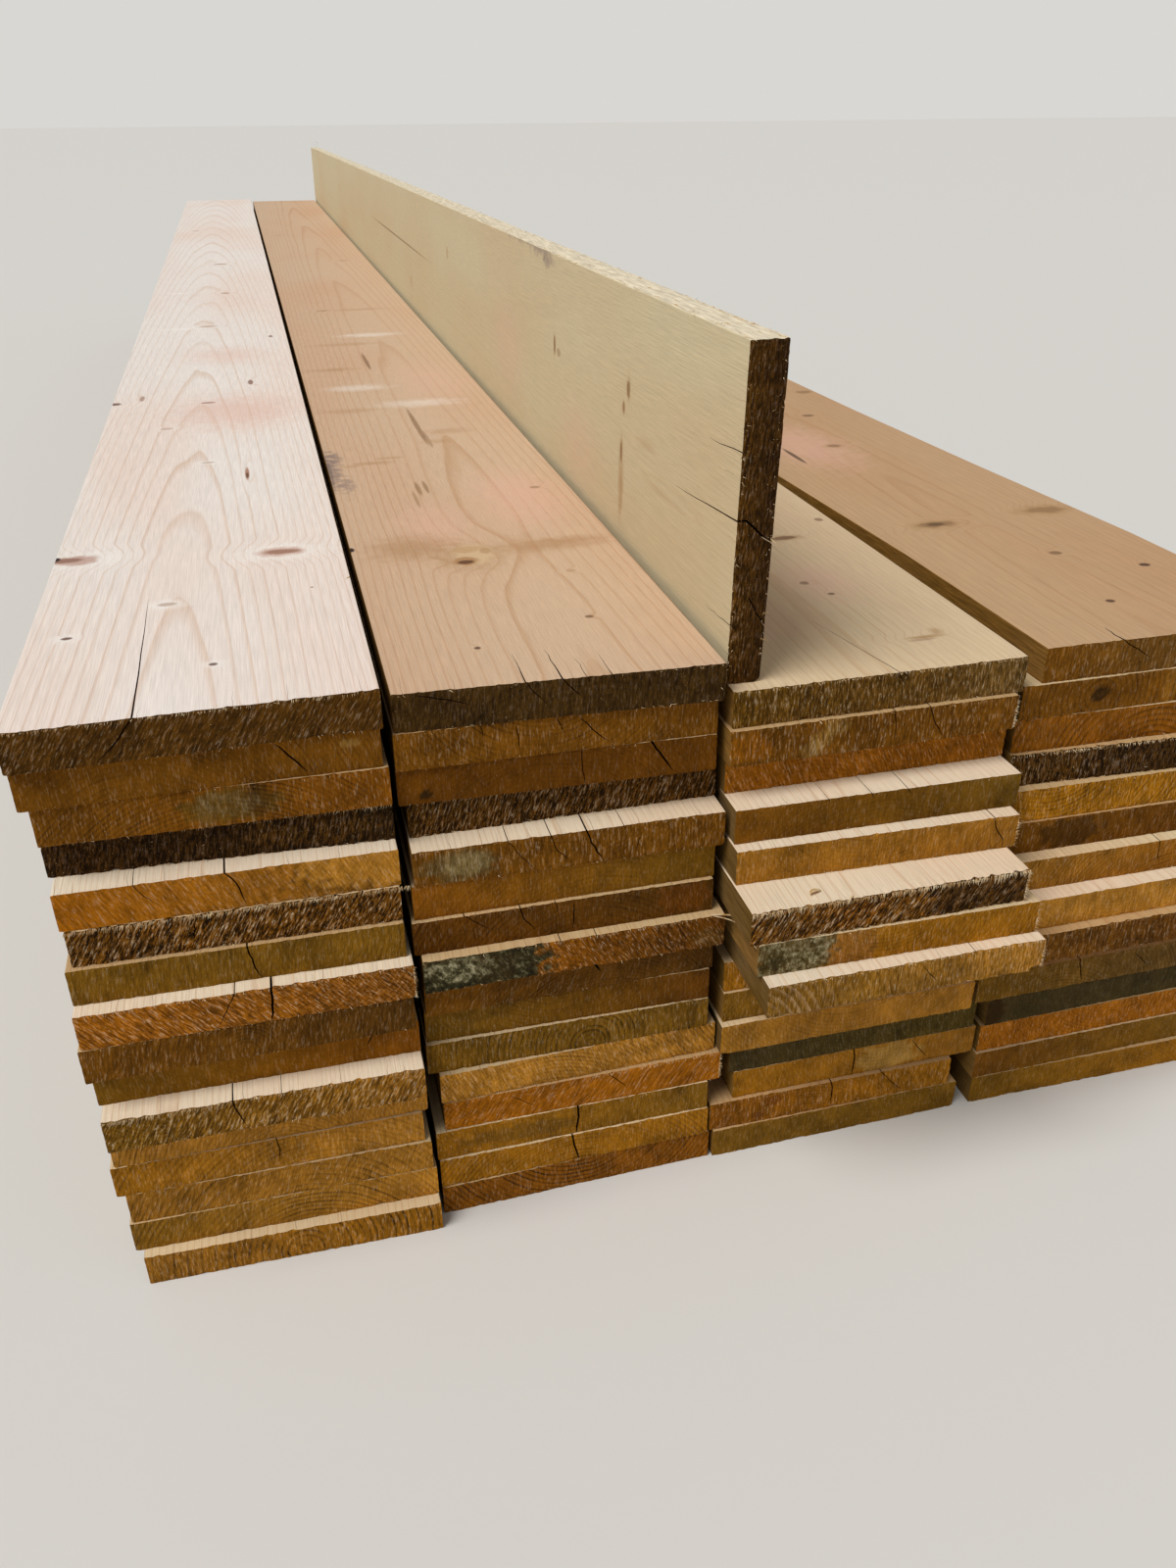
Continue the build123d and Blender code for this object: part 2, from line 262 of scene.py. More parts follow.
# Stains on the near ends, and one patch of painted shade, in mm from the board's left side and up from its
# bottom:
# (column, board): [(across, up, half width, half height, tone, strength), ...]
STAINS = {
    (1, 2): [(182, 18, 6, 2.5, "pale", 0.25)],
    (1, 3): [(108, 13, 28, 11, "grey_olive", 0.6), (122, 15, 7, 12, "dark_brown", 0.7),
             (92, 10, 5, 10, "grey_brown", 0.6),
             (106, 14, 20, 8, BLOOM, 0.2)],
    (1, 4): [(150, 14, 40, 12, "dark_brown", 0.5)],
    (1, 5): [(196, 16, 66.5, 17, "dark_brown", 0.55), (199, 17, 64, 15.5, "light_tan", 0.9)],
    (1, 6): [(20, 10, 40, 12, "dark_brown", 0.5)],
    (2, 3): [(17, 6, 4, 3, "soot", 0.95)],
    (2, 4): [(60, 12, 60, 16, "dark_brown", 0.8)],
    (2, 5): [(28, 12, 24, 12, "grey_brown", 0.9), (32, 12, 15, 8, "ash", 0.5), (30, 12, 20, 10, BLOOM, 0.25)],
    (2, 7): [(178, 14, 18, 12, "red_brown", 0.5)],
    (2, 8): [(34, 12, 45, 40, "grey", 0.9), (34, 12, 45, 40, MOULD, 1.0), (22, 15, 24, 9, BLOOM, 1.0),
             (190, 8, 12, 7, "grey_brown", 0.5)],
    (2, 9): [(60, 16, 12, 6, "dark_brown", 0.6)],
    (2, 10): [(34, 16, 14, 5, "soot", 0.6), (28, 14, 20, 9, "olive_brown", 0.5)],
    (2, 11): [(186, 14, 3, 14, "soot", 0.5)],
    (2, 14): [(60, 12, 44, 7, "grey", 0.35)],
    (3, 1): [(80, 12, 90, 14, "dark_brown", 0.45)],
    (3, 2): [(54, 5, 7, 7, "pale", 0.2), (62, 12, 8, 7, "pale", 0.2), (72, 20, 9, 7, "pale", 0.2),
             (14, 12, 14, 10, "orange", 0.5)],
    (3, 6): [(160, 12, 40, 20, "soot", 0.6), (72, 14, 22, 12, "russet", 0.6),
             (24, 10, 24, 10, "dark_brown", 0.3)],
    (3, 7): [(24, 15, 29, 26, "grey_olive", 0.7), (24, 15, 28, 24, BLOOM, 0.8), (10, 9, 12, 5, MOULD, 0.9),
             (64, 12, 18, 26, "blush", 0.3)],
    (3, 13): [(124, 12, 26, 14, "pale", 0.4)],
    (3, 14): [(50, 18, 8, 5, "red_brown", 0.8), (38, 6, 6, 4, "red_brown", 0.8)],
    (4, 2): [(60, 13, 7, 6, "soot", 0.85), (116, 12, 6, 14, "tan", 0.6)],
    (4, 6): [(52, 12, 24, 12, "soot", 0.6)],
    # painted shade: the soot patch at the left of column 4's board 12 stands for the shadow in the gap beside
    # it
    (4, 12): [(4, 12, 12, 14, "soot", 0.9)],
}

# Marks on the faces that lie open, in mm across from the board's left side and along from the
# stack's front: (across, along, half width, half length, tint, strength, how far it turns the grain)
KNOT, BAND, HALO, ROSE, SMUDGE, FIGURE = "96694a", "a98253", "f6efe6", "e2b29c", "84706a", "ad8258"
SOFT_TINTS = (HALO, BAND, ROSE, SMUDGE, FIGURE)
TOP_MARKS = {
    1: [
        (158, 272, 42, 24, HALO, 0.8, 0), (158, 272, 20, 12, "cba694", 0.8, 8),
        (158, 272, 15, 6.5, "94644e", 0.8, 0),
        (20, 291, 40, 22, HALO, 0.8, 0), (14, 291, 20, 12, "bb9280", 0.8, 9),
        (8, 292, 14, 6, "8a5f4a", 0.8, 0),
        (0, 296, 4, 5, "32221a", 1.0, 0), (82, 182, 16, 13, HALO, 0.8, 0), (82, 182, 7, 4, "b59a86", 0.7, 0),
        (23, 137, 11, 11, HALO, 0.7, 0), (24, 137, 4, 2.8, "6a4638", 0.9, 4),
        (112, 73, 11, 9, HALO, 0.6, 0), (112, 73, 3, 2.6, "6e5148", 0.9, 0),
        (104, 548, 15, 12, HALO, 0.7, 0), (104, 548, 7, 4, "b59a86", 0.6, 0),
        (138, 500, 2.2, 24, "a8765a", 0.9, 4), (138, 494, 1.4, 10, "5a3420", 0.8, 0),
        (62, 695, 14, 11, HALO, 0.6, 0),
        (62, 695, 8, 6, "b98f76", 0.6, 1), (0, 828, 12, 8, "6e4a38", 0.9, 5),
        (101, 810, 9, 5, "7c4c3c", 0.8, 0),
        (148, 912, 3.5, 16, "7a4a30", 0.8, 4), (30, 850, 3, 16, "9a6e50", 0.7, 3),
        (181, 1232, 3.5, 10, "7a5238", 0.8, 3),
        (60, 1330, 40, 14, HALO, 0.7, 0), (96, 1345, 14, 7, "b38a70", 0.7, 2),
        (120, 1700, 9, 12, "b38a70", 0.6, 4),
        (40, 1720, 26, 12, HALO, 0.6, 0), (110, 2140, 14, 12, "a97e62", 0.7, 3),
        (48, 2900, 9, 10, "a97e62", 0.6, 6),
        (130, 760, 90, 120, ROSE, 0.5, 0), (176, 190, 1.4, 1.4, "8c6a50", 0.8, 0),
        (120, 1100, 70, 90, ROSE, 0.35, 0),
    ],
    2: [
        (150, 390, 50, 120, ROSE, 0.5, 0), (70, 330, 40, 80, ROSE, 0.4, 0), (150, 900, 60, 160, ROSE, 0.3, 0),
        (46, 276, 46, 42, FIGURE, 0.6, 0), (146, 258, 62, 20, FIGURE, 0.6, 0),
        (170, 266, 44, 12, FIGURE, 0.35, 0),
        (85, 246, 34, 44, BAND, 0.5, 2), (88, 250, 17, 26, "dfc59c", 0.5, 3),
        (86, 262, 14, 9, "b48a5a", 0.5, 0),
        (80, 236, 11, 10, "a8794c", 0.8, 5), (80, 234, 7, 5, "5c3822", 0.9, 0),
        (98, 256, 5, 8, "a67c4e", 0.5, 0),
        (0, 284, 4, 6, "2c1d14", 1.0, 0),
        (2, 520, 12, 90, SMUDGE, 0.7, 0), (9, 555, 8, 40, SMUDGE, 0.6, 0), (12, 465, 9, 34, SMUDGE, 0.55, 0),
        (0, 500, 4, 70, "63504a", 0.5, 0), (42, 533, 28, 9, FIGURE, 0.5, 0), (20, 526, 14, 6, FIGURE, 0.4, 0),
        (60, 548, 16, 5, "b48f66", 0.5, 0), (86, 1046, 3, 66, "84603e", 0.75, 0),
        (102, 672, 3, 92, "84603e", 0.7, 0),
        (105, 610, 2.2, 40, "8a6848", 0.5, 0), (72, 436, 2.4, 26, "8f6c46", 0.7, 0),
        (79, 440, 2.2, 22, "8f6c46", 0.7, 0),
        (66, 405, 1.8, 30, "9c7850", 0.6, 0), (171, 414, 5, 4.5, "8f6a50", 0.6, 3),
        (140, 106, 3.4, 3, "6d5034", 0.8, 1),
        (60, 73, 2.5, 2.5, "5a3c2c", 0.9, 2), (150, 196, 4, 3, "a8835c", 0.5, 2),
        (110, 600, 20, 12, BAND, 0.35, 0),
        (40, 1000, 42, 16, FIGURE, 0.5, 0), (130, 640, 34, 16, FIGURE, 0.4, 0),
        (120, 1500, 64, 16, FIGURE, 0.4, 0),
        (40, 760, 44, 16, FIGURE, 0.4, 0), (70, 1180, 60, 18, FIGURE, 0.4, 0),
        (110, 1250, 60, 22, HALO, 0.4, 0),
        (120, 780, 60, 26, HALO, 0.35, 0), (60, 880, 50, 24, HALO, 0.35, 0),
        (60, 1500, 10, 9, "a97e5c", 0.6, 3), (150, 2200, 12, 10, "a97e5c", 0.6, 5),
        (40, 2800, 9, 9, "a97e5c", 0.6, 5),
    ],
    3: [
        (130, 180, 40, 60, ROSE, 0.45, 0), (60, 120, 50, 60, ROSE, 0.3, 0),
        (145, 283, 24, 10, BAND, 0.6, 0), (145, 283, 12, 5, "7c5a3c", 0.8, 6),
        (118, 179, 4, 4, "83624a", 0.7, 4),
        (128, 153, 3.4, 3, "7a5a40", 0.8, 3), (154, 61, 18, 4, BAND, 0.8, 3),
        (150, 57, 12, 2, "98705a", 0.5, 0),
        (166, 68, 6, 9, BAND, 0.6, 0), (193, 322, 4, 5, "7a5844", 0.7, 4),
        (60, 420, 12, 9, "8f6c48", 0.7, 8), (160, 640, 10, 9, "8f6c48", 0.7, 7),
        (50, 900, 9, 8, "8f6c48", 0.7, 7),
        (120, 1300, 12, 9, "8f6c48", 0.7, 8), (70, 1900, 10, 9, "8f6c48", 0.6, 7),
        (150, 2600, 10, 9, "8f6c48", 0.6, 7),
    ],
    4: [
        (60, 560, 60, 130, ROSE, 0.5, 0), (60, 283, 34, 15, BAND, 0.9, 0), (60, 283, 20, 8, "76583a", 0.6, 8),
        (60, 283, 9, 4, "553d26", 0.7, 0), (172, 296, 38, 17, BAND, 0.8, 0),
        (172, 296, 20, 9, "8c6a46", 0.6, 8),
        (115, 191, 6, 5, "7a5a3c", 0.8, 4),
        (165, 148, 5, 4, "4a3020", 0.9, 4), (92, 87, 4, 3.5, "553a26", 0.9, 3),
        (120, 689, 8, 7, "7c5c3e", 0.8, 6),
        (89, 553, 16, 12, BAND, 0.6, 0), (89, 553, 8, 6, "8a684c", 0.7, 6),
        (166, 808, 12, 9, "8f6c48", 0.7, 7),
        (34, 527, 3, 34, "5a402c", 0.85, 0), (60, 1300, 12, 9, "8f6c48", 0.7, 7),
        (140, 2100, 10, 9, "8f6c48", 0.6, 7), (90, 3000, 10, 9, "8f6c48", 0.6, 7),
    ],
}
# The same on the left face of the board that stands on edge, up from its foot and along it.
STANDING_MARKS = [
    (90, 700, 60, 120, ROSE, 0.25, 0), (60, 400, 50, 90, ROSE, 0.22, 0),
    (126, 485, 14, 7, BAND, 0.5, 0), (126, 485, 9, 3.5, "7c5a34", 0.8, 4), (122, 470, 4, 9, "8f6a40", 0.5, 0),
    (133, 251, 14, 8, BAND, 0.5, 0), (133, 251, 7, 4.5, "8a683e", 0.8, 3), (118, 262, 8, 5, BAND, 0.7, 0),
    (118, 262, 5, 3.5, "8f6c42", 0.7, 2), (88, 266, 14, 5, BAND, 0.7, 0), (84, 266, 9, 3.5, "84623a", 0.8, 4),
    (66, 266, 30, 10, BAND, 0.6, 0), (48, 266, 22, 7, BAND, 0.5, 0), (104, 205, 4, 34, BAND, 0.3, 5),
    (80, 160, 4, 60, BAND, 0.22, 5), (199, 540, 9, 50, SMUDGE, 0.6, 3), (192, 510, 7, 24, SMUDGE, 0.55, 0),
    (202, 640, 6, 90, SMUDGE, 0.5, 0), (112, 1680, 1.6, 430, "8a6a46", 0.8, 0),
    (140, 1100, 9, 9, "b08a5c", 0.5, 7), (60, 1500, 10, 9, "b08a5c", 0.5, 7),
    (120, 2900, 10, 9, "b08a5c", 0.5, 7),
]


def plug(tree, node, inputs):
    """Sets a node's inputs: to a value, to a socket, or to the first output of another node."""
    for key, value in inputs.items():
        source = value.outputs[0] if isinstance(value, bpy.types.Node) else value
        if isinstance(source, bpy.types.NodeSocket):
            tree.links.new(source, node.inputs[key])
        else:
            node.inputs[key].default_value = source


def add(tree, kind, inputs=None, stops=None, **settings):
    """Adds a shader node with its settings, its input values and the links into it."""
    node = tree.nodes.new("ShaderNode" + kind)
    for name, value in settings.items():
        setattr(node, name, value)
    plug(tree, node, inputs or {})
    for i, (place, colour) in enumerate(stops or []):
        points = node.color_ramp.elements
        point = points[i] if i < 2 else points.new(place)
        point.position, point.color = place, colour
    return node


def new_material(name):
    material = bpy.data.materials.new(name)
    material.use_nodes = True
    tree = material.node_tree
    tree.nodes.clear()
    surface = add(tree, "BsdfPrincipled", {"IOR": 1.5, "Roughness": 0.7})
    add(tree, "OutputMaterial", {"Surface": surface})
    return material, tree, surface


def annual_rings(tree, place, flow=None):
    """Distance from the heart in ring widths: whole numbers are where one year's growth ends."""
    heart = add(tree, "Attribute", attribute_name="heart").outputs["Vector"]
    growth = add(tree, "Attribute", attribute_name="growth").outputs["Vector"]
    along = add(tree, "SeparateXYZ", {0: place}).outputs[1]
    drift_x, drift_z, width = add(tree, "SeparateXYZ", {0: growth}).outputs
    # the heart drifts from the board along the tree, which draws the arches on its flat faces
    leaning = add(tree, "CombineXYZ", {0: drift_x, 2: drift_z})
    line = add(tree, "VectorMath", {0: leaning, "Scale": along}, operation="SCALE")
    line = add(tree, "VectorMath", {0: line, 1: heart}, operation="ADD")
    flat = add(tree, "VectorMath", {0: place, 1: (1, 0, 1)}, operation="MULTIPLY")
    away = add(tree, "VectorMath", {0: flat, 1: line}, operation="SUBTRACT")
    # growth is uneven over 40 mm across the stem and 500 mm along it
    stretched = add(tree, "Mapping", {"Vector": place, "Scale": (25, 2, 25)})
    uneven = add(tree, "TexNoise", {"Vector": stretched, "Scale": 1.0, "Detail": 2.0}).outputs["Color"]
    swell = add(tree, "VectorMath", {0: uneven, 1: (0.5, 0.5, 0.5)}, operation="SUBTRACT")
    moved = add(tree, "VectorMath", {0: swell, 1: (0.004, 0, 0.004), 2: away}, operation="MULTIPLY_ADD")
    radius = add(tree, "VectorMath", {0: moved}, operation="LENGTH").outputs["Value"]
    if flow is not None:
        radius = add(tree, "Math", {0: radius, 1: flow}, operation="ADD")
    return add(tree, "Math", {0: radius, 1: width}, operation="DIVIDE")


def scattered_knots(tree, place):
    """Knots of up to 10 mm half width about every 300 mm: how dark, and how far they turn the grain."""
    apart = add(tree, "VectorMath", {0: place, 1: (9, 2.4, 9)}, operation="MULTIPLY")
    cells = add(tree, "TexVoronoi", {"Vector": apart, "Scale": 1.0}).outputs
    centre = add(tree, "VectorMath", {0: cells["Position"], 1: (1 / 9, 1 / 2.4, 1 / 9)}, operation="MULTIPLY")
    shift = add(tree, "VectorMath", {0: place, 1: centre}, operation="SUBTRACT")
    out = add(tree, "VectorMath", {0: shift}, operation="LENGTH").outputs["Value"]
    chance = add(tree, "SeparateXYZ", {0: cells["Color"]})
    size = add(tree, "MapRange", {0: chance, 1: 0.35, 2: 1.0, 3: 0.0005, 4: 0.010})
    share = add(tree, "Math", {0: out, 1: size}, operation="DIVIDE")
    core = add(tree, "MapRange", {0: share, 1: 1.0, 2: 0.7, 3: 0.0, 4: 0.85}, interpolation_type="SMOOTHSTEP")
    bend = add(tree, "MapRange", {0: share, 1: 3.2, 2: 0.6}, interpolation_type="SMOOTHSTEP")
    return core, add(tree, "Math", {0: bend, 1: size}, operation="MULTIPLY")


def placed_marks(tree, place, marks, upright):
    """The strength of each mark at a point, and how far they all turn the grain there."""
    masks, flow = [], None
    # the rim of a mark is uneven by a few tenths of its size
    wobble = add(tree, "TexNoise", {"Vector": place, "Scale": 110.0, "Detail": 3.0})
    wobble = add(tree, "Math", {0: wobble, 1: 0.5}, operation="SUBTRACT")
    for across, along, half_across, half_along, tint, strength, turn in marks:
        centre = (0, along, across) if upright else (across, along, 0)
        size = (0, 1 / half_along, 1 / half_across) if upright else (1 / half_across, 1 / half_along, 0)
        shift = add(tree, "VectorMath", {0: place, 1: centre}, operation="SUBTRACT")
        scaled = add(tree, "VectorMath", {0: shift, 1: size}, operation="MULTIPLY")
        out = add(tree, "VectorMath", {0: scaled}, operation="LENGTH").outputs["Value"]
        # a thin mark keeps its line; a stain is the most ragged
        ragged = 2.2 if tint == SMUDGE else min(0.9, min(half_across, half_along) / (10 * MM))
        edge = add(tree, "Math", {0: wobble, 1: ragged, 2: out}, operation="MULTIPLY_ADD")
        inner = 0.1 if tint in SOFT_TINTS else 0.6
        mask = add(tree, "MapRange", {0: edge, 1: 1.1, 2: inner, 3: 0.0, 4: strength},
                   interpolation_type="SMOOTHSTEP")
        masks.append((mask, tint))
        if turn:
            bend = add(tree, "MapRange", {0: out, 1: 3.2, 2: 0.5, 3: 0.0, 4: turn * MM},
                       interpolation_type="SMOOTHSTEP")
            flow = bend if flow is None else add(tree, "Math", {0: flow, 1: bend}, operation="ADD")
    return masks, flow


def spruce_face(name, marks=(), upright=False, line_strength=0.6):
    """Planed and sawn long faces of spruce: silky, almost matt, pale cream with a pink cast, the
    late wood drawn as thin tan lines, and crossed by the faint marks of the saw."""
    material, tree, surface = new_material(name)
    place = add(tree, "TexCoord").outputs["Object"]
    tone = add(tree, "Attribute", attribute_name="face_tone").outputs["Color"]
    edge_tone_with_shade = add(tree, "Attribute", attribute_name="edge_tone_with_shade").outputs["Color"]
    from_end = add(tree, "Attribute", attribute_name="from_end").outputs["Fac"]
    if marks:
        masks, flow = placed_marks(tree, place, marks, upright)
    else:
        knot, flow = scattered_knots(tree, place)
        masks = [(knot, KNOT)]
    rings = annual_rings(tree, place, flow)
    year = add(tree, "Math", {0: rings}, operation="FLOOR")
    part = add(tree, "Math", {0: rings}, operation="FRACT")
    late = add(tree, "ValToRGB", {0: part}, stops=[
        (0.0, grey(0.4)), (0.06, grey(0.0)), (0.76, grey(0.04)), (0.95, grey(1.0))])
    strength = add(tree, "TexWhiteNoise", {"W": year}, noise_dimensions="1D").outputs["Value"]
    weight = add(tree, "MapRange", {0: strength, 3: line_strength * 0.45, 4: line_strength})
    late_wood = add(tree, "Math", {0: late, 1: weight}, operation="MULTIPLY")
    # broad blush of colour, some 150 mm across the board and 500 mm along it
    broad = add(tree, "Mapping", {"Vector": place, "Scale": (7, 2, 7)})
    blush = add(tree, "TexNoise", {"Vector": broad, "Scale": 1.0, "Detail": 2.0})
    blush = add(tree, "MapRange", {0: blush, 1: 0.4, 2: 0.7, 3: 0.0, 4: 0.75})
    pink = add(tree, "VectorMath", {0: tone, 1: (0.98, 0.86, 0.80)}, operation="MULTIPLY")
    ground = add(tree, "Mix", {0: blush, 6: tone, 7: pink}, data_type="RGBA").outputs[2]
    darker = add(tree, "VectorMath", {0: ground, 1: (0.78, 0.60, 0.45)}, operation="MULTIPLY")
    colour = add(tree, "Mix", {0: late_wood, 6: ground, 7: darker}, data_type="RGBA").outputs[2]
    # fibres 0.8 mm wide and 30 mm long, coarser than the real ones so that they show
    fine = add(tree, "Mapping", {"Vector": place, "Scale": (1300, 35, 1300)})
    fibre = add(tree, "TexNoise", {"Vector": fine, "Scale": 1.0, "Detail": 3.0})
    light = add(tree, "MapRange", {0: fibre, 1: 0.3, 2: 0.7, 3: 0.9, 4: 1.06})
    colour = add(tree, "VectorMath", {0: colour, "Scale": light}, operation="SCALE")
    # hair checks: in about one strip of 10 mm in three a crack 0.4 mm wide runs in from the end, up
    # to 50 mm far; where the strips lie follows from the heart, so that no two boards are alike
    heart = add(tree, "Attribute", attribute_name="heart").outputs["Vector"]
    apart = add(tree, "VectorMath", {0: heart, 1: (900, 0, 5000)}, operation="MULTIPLY")
    sway = add(tree, "TexNoise", {"Vector": place, "Scale": 70.0}).outputs["Color"]
    strip = add(tree, "VectorMath", {0: sway, 1: (0.3, 0, 0.3), 2: apart}, operation="MULTIPLY_ADD")
    strip = add(tree, "VectorMath", {0: place, 1: (100, 0, 100), 2: strip}, operation="MULTIPLY_ADD")
    strip = add(tree, "SeparateXYZ", {0: strip}).outputs[2 if upright else 0]
    number = add(tree, "Math", {0: strip}, operation="FLOOR")
    beside = add(tree, "Math", {0: strip}, operation="FRACT")
    beside = add(tree, "Math", {0: beside, 1: 0.5}, operation="SUBTRACT")
    beside = add(tree, "Math", {0: beside}, operation="ABSOLUTE")
    chance = add(tree, "TexWhiteNoise", {"W": number}, noise_dimensions="1D").outputs["Value"]
    reach = add(tree, "MapRange", {0: chance, 1: 0.62, 2: 1.0, 3: 0.0001, 4: 0.05})
    gone = add(tree, "Math", {0: from_end, 1: reach}, operation="DIVIDE")
    half = add(tree, "MapRange", {0: gone, 1: 0.0, 2: 1.0, 3: 0.022, 4: 0.0})
    check = add(tree, "Math", {0: beside, 1: half}, operation="LESS_THAN")
    check = add(tree, "Math", {0: check, 1: 0.6}, operation="MULTIPLY")
    colour = add(tree, "Mix", {0: check, 6: colour, 7: linear("7a5430")}, data_type="RGBA").outputs[2]
    for mask, tint in masks:
        colour = add(tree, "Mix", {0: mask, 6: colour, 7: linear(tint)}, data_type="RGBA").outputs[2]
    # the narrow sawn edges are rougher, browner and in places green with damp, and their brown is darkened
    # further with painted shade, for the shade in the gaps between boards
    normal = add(tree, "TexCoord").outputs["Normal"]
    facing = add(tree, "SeparateXYZ", {0: normal}).outputs[2 if upright else 0]
    sideways = add(tree, "Math", {0: facing}, operation="ABSOLUTE")
    edge = add(tree, "MapRange", {0: sideways, 1: 0.6, 2: 0.9})
    cloud = add(tree, "TexNoise", {"Vector": place, "Scale": 11.0, "Detail": 6.0, "Roughness": 0.6})
    damp = add(tree, "MapRange", {0: cloud, 1: 0.35, 2: 0.6, 3: 0.93, 4: 1.0})
    side = add(tree, "Mix", {0: damp, 6: colour, 7: edge_tone_with_shade}, data_type="RGBA").outputs[2]
    strands = add(tree, "Mapping", {"Vector": place, "Scale": (500, 45, 500)})
    strands = add(tree, "TexNoise", {"Vector": strands, "Scale": 1.0, "Detail": 4.0})
    light = add(tree, "MapRange", {0: strands, 1: 0.3, 2: 0.7, 3: 0.72, 4: 1.2})
    side = add(tree, "VectorMath", {0: side, "Scale": light}, operation="SCALE")
    colour = add(tree, "Mix", {0: edge, 6: colour, 7: side}, data_type="RGBA").outputs[2]
    # saw marks lie across the board every 3 mm, and the late wood stands up a trace
    marks_at = add(tree, "Mapping", {"Vector": place, "Scale": (14, 330, 14)})
    saw = add(tree, "TexNoise", {"Vector": marks_at, "Scale": 1.0, "Detail": 2.0})
    height = add(tree, "Math", {0: saw, 1: 0.4, 2: fibre}, operation="MULTIPLY_ADD")
    height = add(tree, "Math", {0: late_wood, 1: 0.5, 2: height}, operation="MULTIPLY_ADD")
    rough_edge = add(tree, "Math", {0: strands, 1: edge}, operation="MULTIPLY")
    height = add(tree, "Math", {0: rough_edge, 1: 2.5, 2: height}, operation="MULTIPLY_ADD")
    bump = add(tree, "Bump", {"Height": height, "Strength": 0.5, "Distance": 0.0005})
    rough = add(tree, "MapRange", {0: fibre, 1: 0.3, 2: 0.7, 3: 0.58, 4: 0.76})
    # the broken cells of the sawn edges take the sheen away
    sheen = add(tree, "MapRange", {0: edge, 3: 0.35, 4: 0.05})
    plug(tree, surface, {"Base Color": colour, "Normal": bump, "Roughness": rough,
                         "Specular IOR Level": sheen})
    return material


